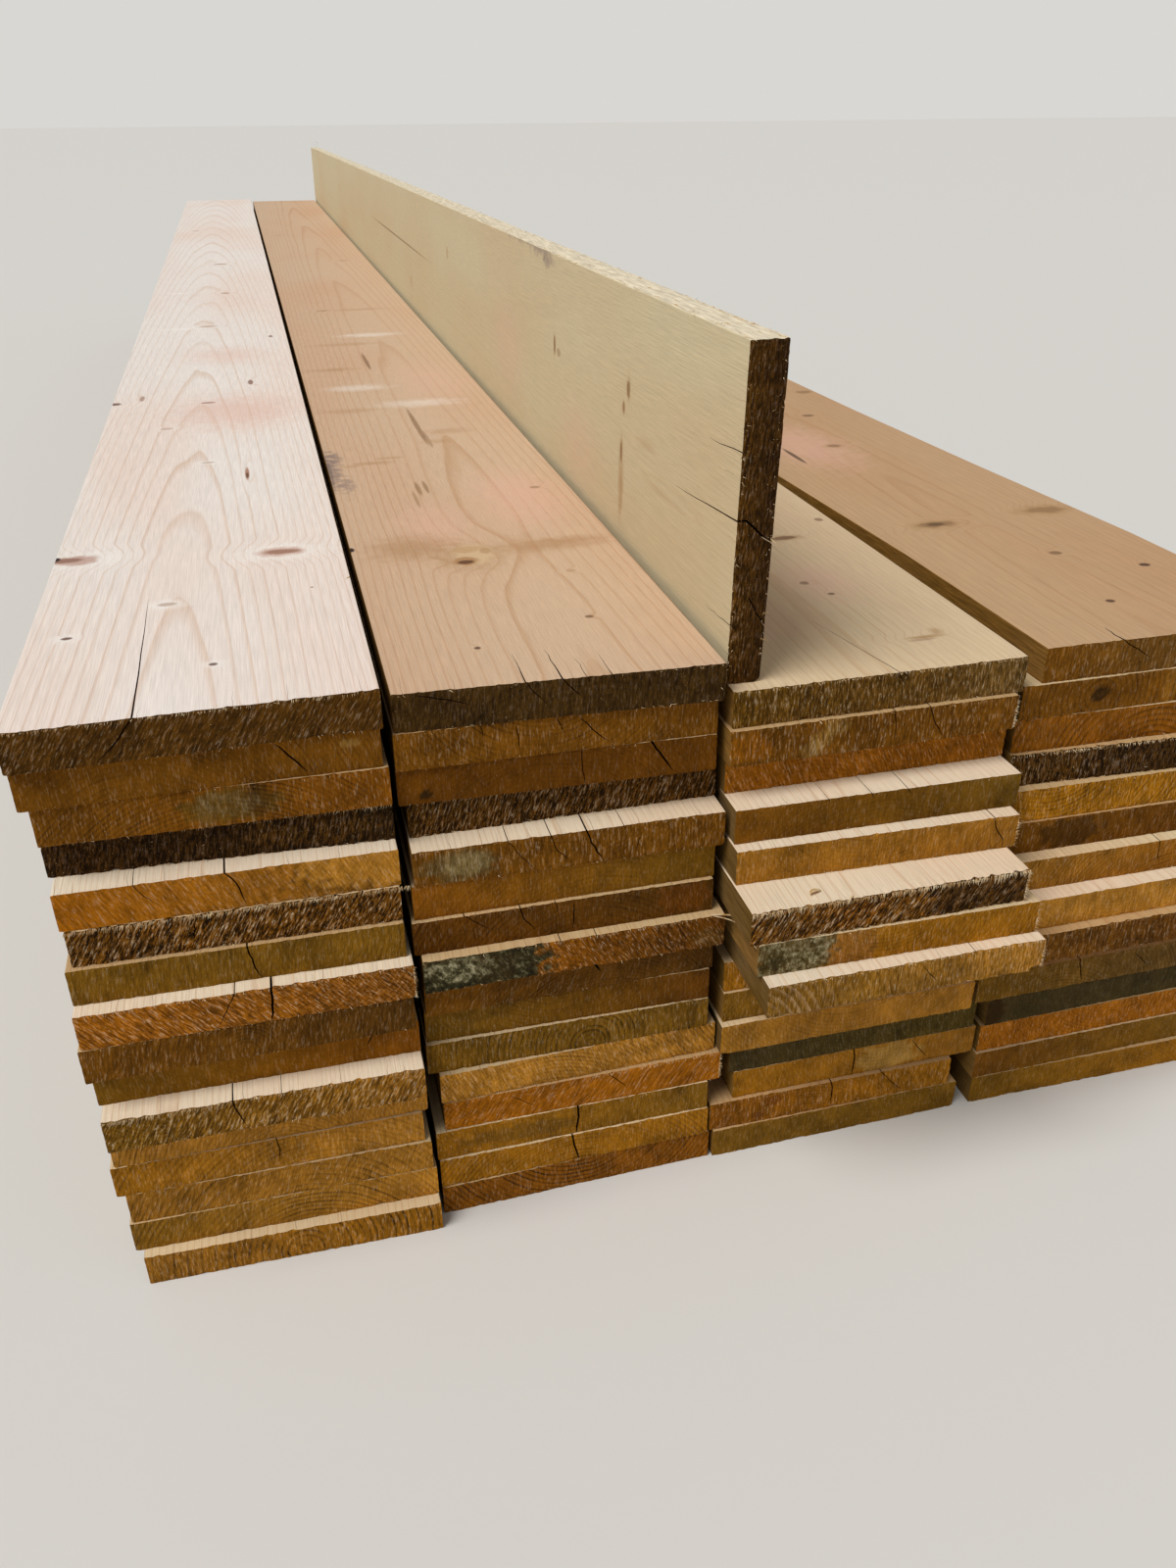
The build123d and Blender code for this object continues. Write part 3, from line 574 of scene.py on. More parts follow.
def spruce_end():
    """Sawn end grain: torn across, soaked dark by weather and dust, with rings, pits, and the
    pale ends of torn fibres, brightened with painted glints."""
    material, tree, surface = new_material("Weathered_spruce_end_grain")
    place = add(tree, "TexCoord").outputs["Object"]
    rings = annual_rings(tree, place)
    tone = add(tree, "Attribute", attribute_name="tone").outputs["Color"]
    saw = add(tree, "Attribute", attribute_name="saw").outputs["Vector"]
    torn, ring_show, lean = add(tree, "SeparateXYZ", {0: saw}).outputs
    spread = add(tree, "Attribute", attribute_name="mould").outputs["Vector"]
    mould, paleness, _ = add(tree, "SeparateXYZ", {0: spread}).outputs
    year = add(tree, "Math", {0: rings}, operation="FLOOR")
    dense = add(tree, "TexWhiteNoise", {"W": year}, noise_dimensions="1D").outputs["Value"]
    dense = add(tree, "MapRange", {0: dense, 3: 0.3, 4: 1.0})
    part = add(tree, "Math", {0: rings}, operation="FRACT")
    late = add(tree, "ValToRGB", {0: part}, stops=[
        (0.0, grey(0.2)), (0.14, grey(0.0)), (0.5, grey(0.08)), (0.86, grey(1.0))])
    # rings show in some parts of an end and are worn away in others, some 30 mm across
    patch = add(tree, "TexNoise", {"Vector": place, "Scale": 26.0, "Detail": 2.0})
    patch = add(tree, "MapRange", {0: patch, 1: 0.35, 2: 0.6, 3: 0.3, 4: 1.0})
    patch = add(tree, "Math", {0: patch, 1: dense}, operation="MULTIPLY")
    shown = add(tree, "Math", {0: late, 1: patch}, operation="MULTIPLY")
    ring_dark = add(tree, "Math", {0: shown, 1: ring_show}, operation="MULTIPLY")
    # the saw's strokes: bundles of torn fibre 1.6 mm wide and 12 mm high, leaning as it was held
    turned = add(tree, "VectorRotate", {"Vector": place, "Angle": lean}, rotation_type="Y_AXIS")
    stroke_place = add(tree, "Mapping", {"Vector": turned, "Scale": (620, 200, 84)})
    strokes = add(tree, "TexNoise", {"Vector": stroke_place, "Scale": 1.0, "Detail": 3.0})
    tear_place = add(tree, "Mapping", {"Vector": turned, "Scale": (860, 300, 160)})
    tears = add(tree, "TexNoise", {"Vector": tear_place, "Scale": 1.0, "Detail": 4.0, "Roughness": 0.65})
    cloud = add(tree, "TexNoise", {"Vector": place, "Scale": 42.0, "Detail": 5.0, "Roughness": 0.6})
    shade = add(tree, "MapRange", {0: cloud, 1: 0.3, 2: 0.7, 3: 0.66, 4: 1.32})
    stroke_light = add(tree, "MapRange", {0: strokes, 1: 0.32, 2: 0.68, 3: -0.55, 4: 0.75})
    stroke_share = add(tree, "Math", {0: torn, 1: 1.1, 2: 0.02}, operation="MULTIPLY_ADD")
    shade = add(tree, "Math", {0: stroke_light, 1: stroke_share, 2: shade}, operation="MULTIPLY_ADD")
    # pores and the finest saw scratches, 0.4 mm wide and 2 mm high
    pore_place = add(tree, "Mapping", {"Vector": turned, "Scale": (2200, 200, 520)})
    pores = add(tree, "TexNoise", {"Vector": pore_place, "Scale": 1.0, "Detail": 2.0})
    pore_light = add(tree, "MapRange", {0: pores, 1: 0.3, 2: 0.7, 3: 0.84, 4: 1.16})
    shade = add(tree, "Math", {0: shade, 1: pore_light}, operation="MULTIPLY")
    ringed = add(tree, "Math", {0: ring_dark, 1: -0.7, 2: shade}, operation="MULTIPLY_ADD")
    ringed = add(tree, "Math", {0: ringed, 1: 0.15}, operation="MAXIMUM")
    # soaked wood gives back hardly any blue
    soaked = add(tree, "VectorMath", {0: tone, 1: (1.0, 1.0, 0.62)}, operation="MULTIPLY")
    colour = add(tree, "VectorMath", {0: soaked, "Scale": ringed}, operation="SCALE")
    paler = add(tree, "VectorMath", {0: tone, 1: (2.2, 2.3, 3.0)}, operation="MULTIPLY")
    paler = add(tree, "HueSaturation", {"Saturation": 0.62, "Color": paler})
    # where the late wood stands pale, it fades out some 100 mm from the heart
    faded = add(tree, "MapRange", {0: rings, 1: 18.0, 2: 10.0, 3: 0.15, 4: 1.0})
    pale_rings = add(tree, "Math", {0: ring_dark, 1: -1.0}, operation="MULTIPLY")
    pale_rings = add(tree, "Math", {0: pale_rings, 1: faded}, operation="MULTIPLY", use_clamp=True)
    colour = add(tree, "Mix", {0: pale_rings, 6: colour, 7: paler}, data_type="RGBA").outputs[2]
    # deep pits where fibre was torn out, and pale ends of fibre that still stand, lit up with a painted glint
    pit = add(tree, "MapRange", {0: tears, 1: 0.52, 2: 0.42, 3: 0.0, 4: 0.95})
    pit = add(tree, "Math", {0: pit, 1: torn}, operation="MULTIPLY")
    colour = add(tree, "Mix", {0: pit, 6: colour, 7: linear("1f1206")}, data_type="RGBA").outputs[2]
    stand_and_glint = add(tree, "MapRange", {0: tears, 1: 0.56, 2: 0.64, 3: 0.0, 4: 0.95})
    stand_and_glint = add(tree, "Math", {0: stand_and_glint, 1: torn}, operation="MULTIPLY")
    # the standing fibre is nearly white on a brown end, a painted glint over its pale colour, and as dull as
    # the rest on a black one
    bright = add(tree, "RGBToBW", {0: tone})
    bright = add(tree, "MapRange", {0: bright, 1: 0.035, 2: 0.1, 3: 0.0, 4: 0.6})
    lit_standing_fibre = add(tree, "Mix", {0: bright, 6: paler, 7: linear("ead6b0")}, data_type="RGBA").outputs[2]
    colour = add(tree, "Mix", {0: stand_and_glint, 6: colour, 7: lit_standing_fibre}, data_type="RGBA").outputs[2]
    # single flecks of loose fibre, 0.5 mm wide and 1.5 mm high, golden on a dark end, partly painted glints
    # off the fibre
    fleck_place = add(tree, "Mapping", {"Vector": turned, "Scale": (1700, 400, 600)})
    flecks = add(tree, "TexNoise", {"Vector": fleck_place, "Scale": 1.0, "Detail": 1.0})
    rare = add(tree, "MapRange", {0: torn, 3: 0.78, 4: 0.70})
    fleck_and_glint = add(tree, "Math", {0: flecks, 1: rare}, operation="GREATER_THAN")
    fleck_and_glint = add(tree, "Math", {0: fleck_and_glint, 1: 0.6}, operation="MULTIPLY")
    golden_glint = add(tree, "Mix", {0: 0.4, 6: paler, 7: linear("cfa564")}, data_type="RGBA").outputs[2]
    colour = add(tree, "Mix", {0: fleck_and_glint, 6: colour, 7: golden_glint}, data_type="RGBA").outputs[2]
    # mould: olive black, with a pale bloom in patches of 4 to 6 mm
    bloom_place = add(tree, "Mapping", {"Vector": turned, "Scale": (260, 1, 170)})
    bloom = add(tree, "TexNoise", {"Vector": bloom_place, "Scale": 1.0, "Detail": 5.0, "Roughness": 0.75})
    bloom = add(tree, "Math", {0: paleness, 1: 0.1, 2: bloom}, operation="MULTIPLY_ADD")
    mould_colour = add(tree, "ValToRGB", {0: bloom}, stops=[
        (0.4, linear("1f1b0f")), (0.54, linear("403a22")),
        (0.62, linear("7a7252")), (0.74, linear("bfb593"))])
    uneven = add(tree, "MapRange", {0: cloud, 1: 0.3, 2: 0.55, 3: 0.35, 4: 1.0})
    mould = add(tree, "Math", {0: mould, 1: uneven}, operation="MULTIPLY")
    colour = add(tree, "Mix", {0: mould, 6: colour, 7: mould_colour}, data_type="RGBA").outputs[2]
    height = add(tree, "Math", {0: strokes, 1: 0.9, 2: tears}, operation="MULTIPLY_ADD")
    height = add(tree, "Math", {0: shown, 1: 0.35, 2: height}, operation="MULTIPLY_ADD")
    height = add(tree, "Math", {0: pores, 1: 0.25, 2: height}, operation="MULTIPLY_ADD")
    share = add(tree, "Math", {0: torn, 1: 0.7, 2: 0.3}, operation="MULTIPLY_ADD")
    bump = add(tree, "Bump", {"Height": height, "Strength": share, "Distance": 0.0014})
    # end grain swallows light: hardly any sheen off its broken cells
    plug(tree, surface, {"Base Color": colour, "Normal": bump, "Roughness": 0.75, "Specular IOR Level": 0.06})
    return material


def dark_check():
    """The inside of a drying check: old, dusty, almost black brown wood."""
    material, tree, surface = new_material("Dark_wood_inside_checks")
    place = add(tree, "TexCoord").outputs["Object"]
    dust = add(tree, "TexNoise", {"Vector": place, "Scale": 300.0})
    mixed = add(tree, "Mix", {0: dust, 6: linear("2e1606"), 7: linear("4e2a10")}, data_type="RGBA")
    plug(tree, surface, {"Base Color": mixed.outputs[2], "Roughness": 0.9, "Specular IOR Level": 0.1})
    return material


def torn_fibre():
    """Fresh torn spruce fibre: straw coloured, paler at random, a little silky."""
    material, tree, surface = new_material("Torn_spruce_fibre")
    place = add(tree, "TexCoord").outputs["Object"]
    vary = add(tree, "TexNoise", {"Vector": place, "Scale": 160.0, "Detail": 3.0})
    vary = add(tree, "MapRange", {0: vary, 1: 0.35, 2: 0.65})
    mixed = add(tree, "Mix", {0: vary, 6: linear("b48c52"), 7: linear("eedab4")}, data_type="RGBA")
    plug(tree, surface, {"Base Color": mixed.outputs[2], "Roughness": 0.55})
    return material


def deselect():
    for other in bpy.context.selected_objects:
        other.select_set(False)


def edit(obj, kind="FACE"):
    """Opens one object in edit mode, with what is selected in its mesh taken as that kind."""
    deselect()
    obj.select_set(True)
    bpy.context.view_layer.objects.active = obj
    bpy.context.tool_settings.mesh_select_mode = (kind == "VERT", kind == "EDGE", kind == "FACE")
    bpy.ops.object.mode_set(mode="EDIT")


def turn_outwards(obj):
    edit(obj)
    bpy.ops.mesh.select_all(action="SELECT")
    bpy.ops.mesh.normals_make_consistent(inside=False)
    bpy.ops.object.mode_set(mode="OBJECT")


def blank_board(wide, thick, cells_across, cells_up, rings):
    """A board at its stock size, its ends divided finely: a grid drawn out along the board."""
    deselect()
    bpy.ops.mesh.primitive_grid_add(x_subdivisions=cells_across, y_subdivisions=cells_up, size=1.0,
                                    rotation=(math.pi / 2, 0, 0))
    blank = bpy.context.object
    blank.scale = (wide, thick, 1)
    bpy.ops.object.transform_apply(location=True, rotation=True, scale=True)
    edit(blank)
    bpy.ops.mesh.select_all(action="SELECT")
    before = 0.0
    for ring in rings:
        bpy.ops.mesh.extrude_region_move(TRANSFORM_OT_translate={"value": (0, (ring - before) * MM, 0)})
        before = ring
    bpy.ops.mesh.select_all(action="SELECT")
    bpy.ops.mesh.normals_make_consistent(inside=False)
    bpy.ops.mesh.select_all(action="DESELECT")
    bpy.ops.object.mode_set(mode="OBJECT")
    mesh = blank.data
    corner = [abs(abs(v.co.x) - wide / 2) + abs(abs(v.co.z) - thick / 2) < 1e-6 for v in mesh.vertices]
    for edge in mesh.edges:
        a, b = edge.vertices
        edge.select = corner[a] and corner[b] and abs(mesh.vertices[a].co.y - mesh.vertices[b].co.y) > 1e-6
    edit(blank, "EDGE")
    bpy.ops.mesh.bevel(offset=EDGE_EASE, segments=EASE_STEPS)
    bpy.ops.object.mode_set(mode="OBJECT")
    ends = np.array([abs(p.normal.y) > 0.9 for p in mesh.polygons])
    mesh.polygons.foreach_set("material_index", np.where(ends, END_GRAIN, FACE).astype(np.int32))
    return blank


def boards_in(node):
    """The boards that a layer's solids hold, from left to right: their vertices, as arrays."""
    mesh = node.data
    points = np.array([v.co for v in mesh.vertices])
    spans = sorted((points[list(f.vertices), 0].min(), points[list(f.vertices), 0].max())
                   for f in mesh.polygons)
    joined = []
    for low, high in spans:
        if joined and low <= joined[-1][1] + 0.5 * MM:
            joined[-1][1] = max(joined[-1][1], high)
        else:
            joined.append([low, high])
    return [points[(points[:, 0] >= low - 1e-6) & (points[:, 0] <= high + 1e-6)] for low, high in joined]


def side_lines(points):
    """A board's left and right side, as (distances along, places across), near end first."""
    top = points[:, 2].max()
    outer = points[abs(points[:, 2] - (top - EDGE_EASE)) < 0.1 * MM]
    middle = (points[:, 0].min() + points[:, 0].max()) / 2
    sides = []
    for side in (outer[outer[:, 0] < middle], outer[outer[:, 0] > middle]):
        ordered = side[np.argsort(side[:, 1])]
        sides.append((ordered[:, 1], ordered[:, 0]))
    return sides


def coordinates(mesh):
    places = np.empty(len(mesh.vertices) * 3)
    mesh.vertices.foreach_get("co", places)
    return places.reshape(-1, 3)


def lay_flat(mesh, points):
    """Fits a copy of a blank to one solid board: its width, thickness, crook and skewed ends."""
    places = coordinates(mesh)
    share_across, share_up = places[:, 0] / FLAT_WIDE + 0.5, places[:, 2] / FLAT_THICK + 0.5
    (left_y, left_x), (right_y, right_x) = side_lines(points)
    near = left_y[0] + (right_y[0] - left_y[0]) * share_across
    along = near + places[:, 1]
    left = np.interp(along, left_y, left_x)
    right = np.interp(along, right_y, right_x)
    bottom, top = points[:, 2].min(), points[:, 2].max()
    fitted = np.stack([left + (right - left) * share_across, along, bottom + (top - bottom) * share_up], 1)
    mesh.vertices.foreach_set("co", fitted.ravel())
    return dict(left=left_x[0], right=right_x[0], bottom=bottom, top=top, lean=0.0, near_left=left_y[0],
                near_right=right_y[0])


def near_line(place, x):
    """Where the near end of a board lies, at a place across it."""
    share = min(max((x - place["left"]) / (place["right"] - place["left"]), 0), 1)
    return place["near_left"] + (place["near_right"] - place["near_left"]) * share


def roughen_ends(mesh, place, torn, lean, seed):
    """Sinks the sawn ends unevenly, as a saw leaves them: along its strokes, and most at the rims."""
    places = coordinates(mesh)
    low, high = places.min(0), places.max(0)
    across_stroke, along_stroke = math.cos(math.radians(lean)), math.sin(math.radians(lean))
    for i in np.flatnonzero((places[:, 1] < low[1] + 0.05) | (places[:, 1] > high[1] - 0.05)):
        x, y, z = places[i]
        near = near_line(place, x)
        inward = 1 if y < near + 0.05 else -1
        depth = y - near if inward > 0 else near + BOARD_LONG - y
        fade = min(1.0, max(0.0, 1 - depth / END_DEPTH))
        if fade == 0.0:
            continue
        wave = noise.noise(Vector((x * 22, seed * 7.3, z * 60)))
        stroke_x, stroke_z = x * across_stroke - z * along_stroke, x * along_stroke + z * across_stroke
        tear = noise.noise(Vector((stroke_x * 330, seed * 3.1, stroke_z * 60)))
        tear += 0.5 * noise.noise(Vector((stroke_x * 480, seed * 1.7, stroke_z * 240)))
        rim = max(0.0, 1 - min(z - low[2], high[2] - z) / (2.2 * MM))
        side_rim = max(0.0, 1 - min(x - low[0], high[0] - x) / (3 * MM))
        chip = max(0.0, noise.noise(Vector((x * 230, seed * 5.7, z * 40))))
        side_chip = max(0.0, noise.noise(Vector((seed * 2.7, inward * 5, z * 300))))
        sink = 0.4 + 0.4 * wave + (0.2 + 0.9 * torn) * (0.5 + 0.5 * tear) + rim * chip * (1 + 2.0 * torn)
        sink += side_rim * side_chip * (0.8 + 2.0 * torn)
        places[i, 1] = y + inward * sink * MM * fade
        if 0 < rim:
            drop = (0.2 + 0.4 * torn) * MM * (0.5 + noise.noise(Vector((x * 310, seed, inward * 3))))
            places[i, 2] = z + rim * fade * max(drop, 0) * (1 if z < (low[2] + high[2]) / 2 else -1)
    mesh.vertices.foreach_set("co", places.ravel())


def attribute(mesh, name, kind, values):
    made = mesh.attributes.new(name, kind, "POINT")
    key = {"FLOAT_COLOR": "color", "FLOAT_VECTOR": "vector", "FLOAT": "value"}[kind]
    made.data.foreach_set(key, np.ascontiguousarray(values, dtype=np.float32).ravel())


def paint_board(mesh, place, end, stains, seed, face, edge, drift=12.0):
    """Stores on the mesh what its materials read: its tones, how torn its ends are, and its rings."""
    tone_left, tone_right, torn, ring_show, lean, heart_across, heart_up, ring_width = end
    rng = random.Random(seed)
    points = coordinates(mesh)
    share = np.clip((points[:, 0] - place["left"]) / (place["right"] - place["left"]), 0, 1)[:, None]
    left, right = np.array(linear(TONES[tone_left])), np.array(linear(TONES[tone_right]))
    colours = left * (1 - share) + right * share
    near_end = points[:, 1] < place["near_left"] + 0.5
    mould = np.zeros((len(points), 3))      # how much of it, how pale, nothing
    for across, up, half_wide, half_high, tone, strength in stains:
        dx = (points[:, 0] - place["left"]) / MM - across
        dz = (points[:, 2] - place["bottom"]) / MM - up
        ragged = np.array([noise.noise(Vector((x * 0.16, seed, z * 0.22))) for x, z in zip(dx, dz)]) * 0.4
        out = np.hypot(dx / half_wide, dz / half_high)
        inside = np.clip((1.05 - out + ragged) / 0.14, 0, 1) * strength * near_end
        if tone in (MOULD, BLOOM):
            mould[:, 0] = np.maximum(mould[:, 0], inside)
            mould[:, 1] = np.where(inside > 0, (tone == BLOOM) * 1.0, mould[:, 1])
        else:
            colours = colours * (1 - inside[:, None]) + np.array(linear(TONES[tone])) * inside[:, None]
    attribute(mesh, "tone", "FLOAT_COLOR", colours)
    attribute(mesh, "mould", "FLOAT_VECTOR", mould)
    many = len(points)
    attribute(mesh, "saw", "FLOAT_VECTOR", np.tile((torn, ring_show, math.radians(-lean)), (many, 1)))
    # the heart of the tree moves off from the board by so many mm in each metre
    away = 1 if heart_up > 12 else -1
    growth = (rng.uniform(-2, 2) * MM, away * drift * MM, ring_width * MM)
    heart = (place["left"] + heart_across * MM - growth[0] * place["near_left"], 0,
             place["bottom"] + heart_up * MM - growth[1] * place["near_left"])
    attribute(mesh, "heart", "FLOAT_VECTOR", np.tile(heart, (many, 1)))
    attribute(mesh, "growth", "FLOAT_VECTOR", np.tile(growth, (many, 1)))
    attribute(mesh, "face_tone", "FLOAT_COLOR", np.tile(linear(face), (many, 1)))
    attribute(mesh, "edge_tone_with_shade", "FLOAT_COLOR", np.tile(linear(edge), (many, 1)))
    low, high = points[:, 1].min(), points[:, 1].max()
    attribute(mesh, "from_end", "FLOAT", np.minimum(points[:, 1] - low, high - points[:, 1]))


def strip_block(cells_along, steps_deep):
    """A block one unit wide and as many units deep as it has steps, to be pulled into a cutter."""
    deselect()
    bpy.ops.mesh.primitive_grid_add(x_subdivisions=cells_along, y_subdivisions=1, size=1.0)
    block = bpy.context.object
    edit(block)
    bpy.ops.mesh.select_all(action="SELECT")
    for _ in range(steps_deep):
        bpy.ops.mesh.extrude_region_move(TRANSFORM_OT_translate={"value": (0, 0, 1)})
    bpy.ops.object.mode_set(mode="OBJECT")
    return block


def check_blade(gape, depth, line, slant, place, rng):
    """A thin ragged wedge that cuts one check: widest at the end, wandering and closing further in."""
    cells_along, steps_deep = 7, 6
    blade = strip_block(cells_along, steps_deep)
    spots = np.array(line, dtype=float) * MM + np.array((place["left"], place["bottom"]))
    lengths = np.concatenate([[0], np.cumsum(np.hypot(*np.diff(spots, axis=0).T))])
    run = (spots[-1] - spots[0]) / max(np.hypot(*(spots[-1] - spots[0])), 1e-6)
    beside = np.array((-run[1], run[0]))
    near = near_line(place, spots[:, 0].mean())
    wander = [rng.uniform(-0.7, 0.7) for _ in range(cells_along + 1)]
    sway = [0.0] + [rng.uniform(-1, 1) for _ in range(steps_deep)]
    opens_above = line[0][1] > 25
    for vertex in blade.data.vertices:
        share, side, step = vertex.co.x + 0.5, math.copysign(1, vertex.co.y), round(vertex.co.z)
        at = share * lengths[-1]
        middle = np.array([np.interp(at, lengths, spots[:, 0]), np.interp(at, lengths, spots[:, 1])])
        deep = step / steps_deep
        taper = (1.0 if opens_above else min(1.0, share * 4 + 0.15)) * min(1.0, (1 - share) * 3 + 0.12)
        half = gape / 2 * MM * taper * (1 - deep) ** 0.8 + 0.04 * MM
        off = wander[round(share * cells_along)] * 0.6 * MM + sway[step] * 0.8 * MM * deep
        x, z = middle + beside * (off + side * half) + np.array(slant) * MM * deep
        vertex.co = (x, near - 4 * MM + deep * depth * MM, z)
    turn_outwards(blade)
    return blade


def carve(board, cutter, inner_slot):
    """Takes a cutter out of a board; the cut faces get the board's material of that slot."""
    for material in board.data.materials:
        cutter.data.materials.append(material)
    for face in cutter.data.polygons:
        face.material_index = inner_slot
    cut = board.modifiers.new("cut", "BOOLEAN")
    cut.operation, cut.object, cut.solver = "DIFFERENCE", cutter, "EXACT"
    deselect()
    board.select_set(True)
    bpy.context.view_layer.objects.active = board
    before = len(board.data.vertices)
    bpy.ops.object.modifier_apply(modifier=cut.name)
    bpy.data.objects.remove(cutter)
    if len(board.data.vertices) < before * 0.9:
        raise RuntimeError("a cut took away most of " + board.name)


def broken_corner(board, place):
    """Splits off the lower right corner of the board that stands furthest out."""
    steps_deep = 6
    cutter = strip_block(3, steps_deep)
    rng = random.Random(83)
    ragged = {}
    for vertex in cutter.data.vertices:
        across, lower, step = vertex.co.x + 0.5, vertex.co.y < 0, round(vertex.co.z)
        far = step / steps_deep
        key = (round(across, 2), step)
        ragged.setdefault(key, rng.uniform(-0.8, 0.8))
        x = place["right"] - 9 * MM * (1 - far) + across * 14 * MM
        rise = 7 * (1 - far) * (0.35 + 0.65 * across) + ragged[key]
        z = place["bottom"] + (rise if not lower else -6) * MM
        vertex.co = (x, place["near_right"] - 3 * MM + far * 62 * MM, z)
    turn_outwards(cutter)
    carve(board, cutter, PALE_FIBRE)


def one_sliver():
    """One torn fibre, 1 by 1 by 1: a thin three-sided spike with a bend in it."""
    deselect()
    bpy.ops.mesh.primitive_cone_add(vertices=3, radius1=0.5, radius2=0.28, depth=0.5, location=(0, 0, 0.25))
    sliver = bpy.context.object
    bpy.ops.object.transform_apply(location=True, rotation=True, scale=True)
    edit(sliver)
    bpy.ops.mesh.select_all(action="DESELECT")
    bpy.ops.object.mode_set(mode="OBJECT")
    for face in sliver.data.polygons:
        face.select = face.normal.z > 0.9
    edit(sliver)
    bpy.ops.mesh.extrude_region_move(TRANSFORM_OT_translate={"value": (0.35, 0.1, 0.5)})
    bpy.ops.mesh.merge(type="CENTER")
    bpy.ops.object.mode_set(mode="OBJECT")
    turn_outwards(sliver)
    return sliver


def slivers_at(sliver, spots):
    """Copies of the sliver in one mesh: (root, direction, length, width, slot of its material) for
    each, kept inside the box of the solids."""
    shape = coordinates(sliver.data)
    faces = [tuple(p.vertices) for p in sliver.data.polygons]
    points, corners, slots = [], [], []
    for root, direction, length, width, slot in spots:
        way = Vector(direction).normalized()
        beside = way.orthogonal().normalized()
        other = way.cross(beside)
        basis = np.array([np.array(beside) * width, np.array(other) * width, np.array(way) * length])
        start = len(points) * len(shape)
        points.append(shape @ basis + np.array(root))
        corners += [tuple(start + i for i in face) for face in faces]
        slots += [slot] * len(faces)
    inside = np.clip(np.concatenate(points), np.array(cad_box[0]), np.array(cad_box[1]))
    mesh = bpy.data.meshes.new("slivers")
    mesh.from_pydata(inside.tolist(), [], corners)
    mesh.polygons.foreach_set("material_index", np.array(slots, dtype=np.int32))
    tuft = bpy.data.objects.new("slivers", mesh)
    bpy.context.scene.collection.objects.link(tuft)
    return tuft


def join_fibres(board, pieces):
    """Joins torn fibres and shavings to their board, in the materials that their faces name."""
    deselect()
    for piece in pieces:
        for material in board.data.materials:
            piece.data.materials.append(material)
        piece.select_set(True)
    board.select_set(True)
    bpy.context.view_layer.objects.active = board
    bpy.ops.object.join()


def end_slivers(place, torn, seed):
    """Where torn fibres stand on both ends: along the rims, and all over a badly torn end."""
    rng = random.Random(seed * 31 + 5)
    spots = []
    wide, high = place["right"] - place["left"], place["top"] - place["bottom"]
    rim_inset = 0.9 * MM / min(wide, high)
    for facing in (-1, 1):
        rim_count, face_count = int(26 + 90 * torn), int(max(0.0, torn - 0.3) * 330)
        for i in range(rim_count + face_count):
            across, up = rng.uniform(0.01, 0.99), rng.uniform(0.05, 0.95)
            drop = rng.gauss(-0.1, 0.8)
            # fibres on the face are nearly all as weathered as the face itself
            slot = PALE_FIBRE if i < rim_count or rng.random() < 0.08 else END_GRAIN
            if i < rim_count:
                # the long rims of a flat board are its top and bottom, of a standing one its sides
                edge = 1 - rim_inset if rng.random() < 0.6 else rim_inset
                across, up = (across, edge) if wide > high else (edge, up)
                drop = rng.gauss(-0.2, 0.35)
            near = near_line(place, place["left"] + wide * across)
            end_y = near if facing < 0 else near + BOARD_LONG
            root = (place["left"] + wide * across + place["lean"] * up, end_y - facing * 1.6 * MM,
                    place["bottom"] + high * up)
            way = (rng.gauss(0, 0.8), facing * rng.uniform(0.15, 0.8), drop)
            reach = rng.uniform(0.6, 2.0) * (1 + 0.5 * torn) * MM
            spots.append((root, way, reach + 1.0 * MM, rng.uniform(0.3, 0.7) * MM, slot))
    return spots


def fringe_slivers(place, fringes, seed):
    """Where the long torn fibres of a fringe hang from a rim of the near end."""
    rng = random.Random(seed * 17 + 3)
    spots = []
    for rim, start, stop, count, shortest, longest, lean, droop in fringes:
        for _ in range(count):
            at = rng.uniform(start, stop) * MM
            slope = math.radians(lean + rng.gauss(0, 12))
            fall = droop * rng.uniform(0.5, 1.3)
            if rim == "top":
                x, z = place["left"] + at, place["top"] - rng.uniform(0.2, 1.4) * MM
                way = (-math.sin(slope) * fall + rng.gauss(0, 0.12), -rng.uniform(0.2, 0.7),
                       -math.cos(slope) * fall)
            else:
                x, z = place["right"] - 0.7 * MM, place["bottom"] + at
                way = (rng.uniform(0.3, 1.0), -rng.uniform(0.0, 0.7), rng.gauss(0, 0.4) - fall * 0.4)
            root = (x, near_line(place, x) + rng.uniform(0.6, 1.2) * MM, z)
            length = shortest + (longest - shortest) * rng.random() ** 1.6
            spots.append((root, way, length * MM, rng.uniform(0.3, 0.65) * MM, PALE_FIBRE))
    return spots


def shaving(width, thickness, points, place):
    """A curled ribbon of wood: a strip laid through its points, smoothed, and made as thick as it is."""
    deselect()
    bpy.ops.mesh.primitive_grid_add(x_subdivisions=len(points) - 1, y_subdivisions=1, size=1.0)
    strip = bpy.context.object
    path = []
    for across, out, up in points:
        x = place["left"] + across * MM
        path.append(Vector((x, near_line(place, x) - out * MM, place["bottom"] + up * MM)))
    beside = Vector((0.25, 1, 0)).normalized() * width / 2 * MM
    for vertex in strip.data.vertices:
        share = vertex.co.x + 0.5
        narrow = 1 - 0.75 * abs(2 * share - 1) ** 3
        vertex.co = path[round(share * (len(points) - 1))] + beside * math.copysign(narrow, vertex.co.y)
    smooth = strip.modifiers.new("smooth", "SUBSURF")
    smooth.levels = smooth.render_levels = 2
    thick = strip.modifiers.new("thick", "SOLIDIFY")
    thick.thickness = thickness * MM
    for modifier in (smooth, thick):
        bpy.ops.object.modifier_apply(modifier=modifier.name)
    turn_outwards(strip)
    for face in strip.data.polygons:
        face.material_index = PALE_FIBRE
    return strip
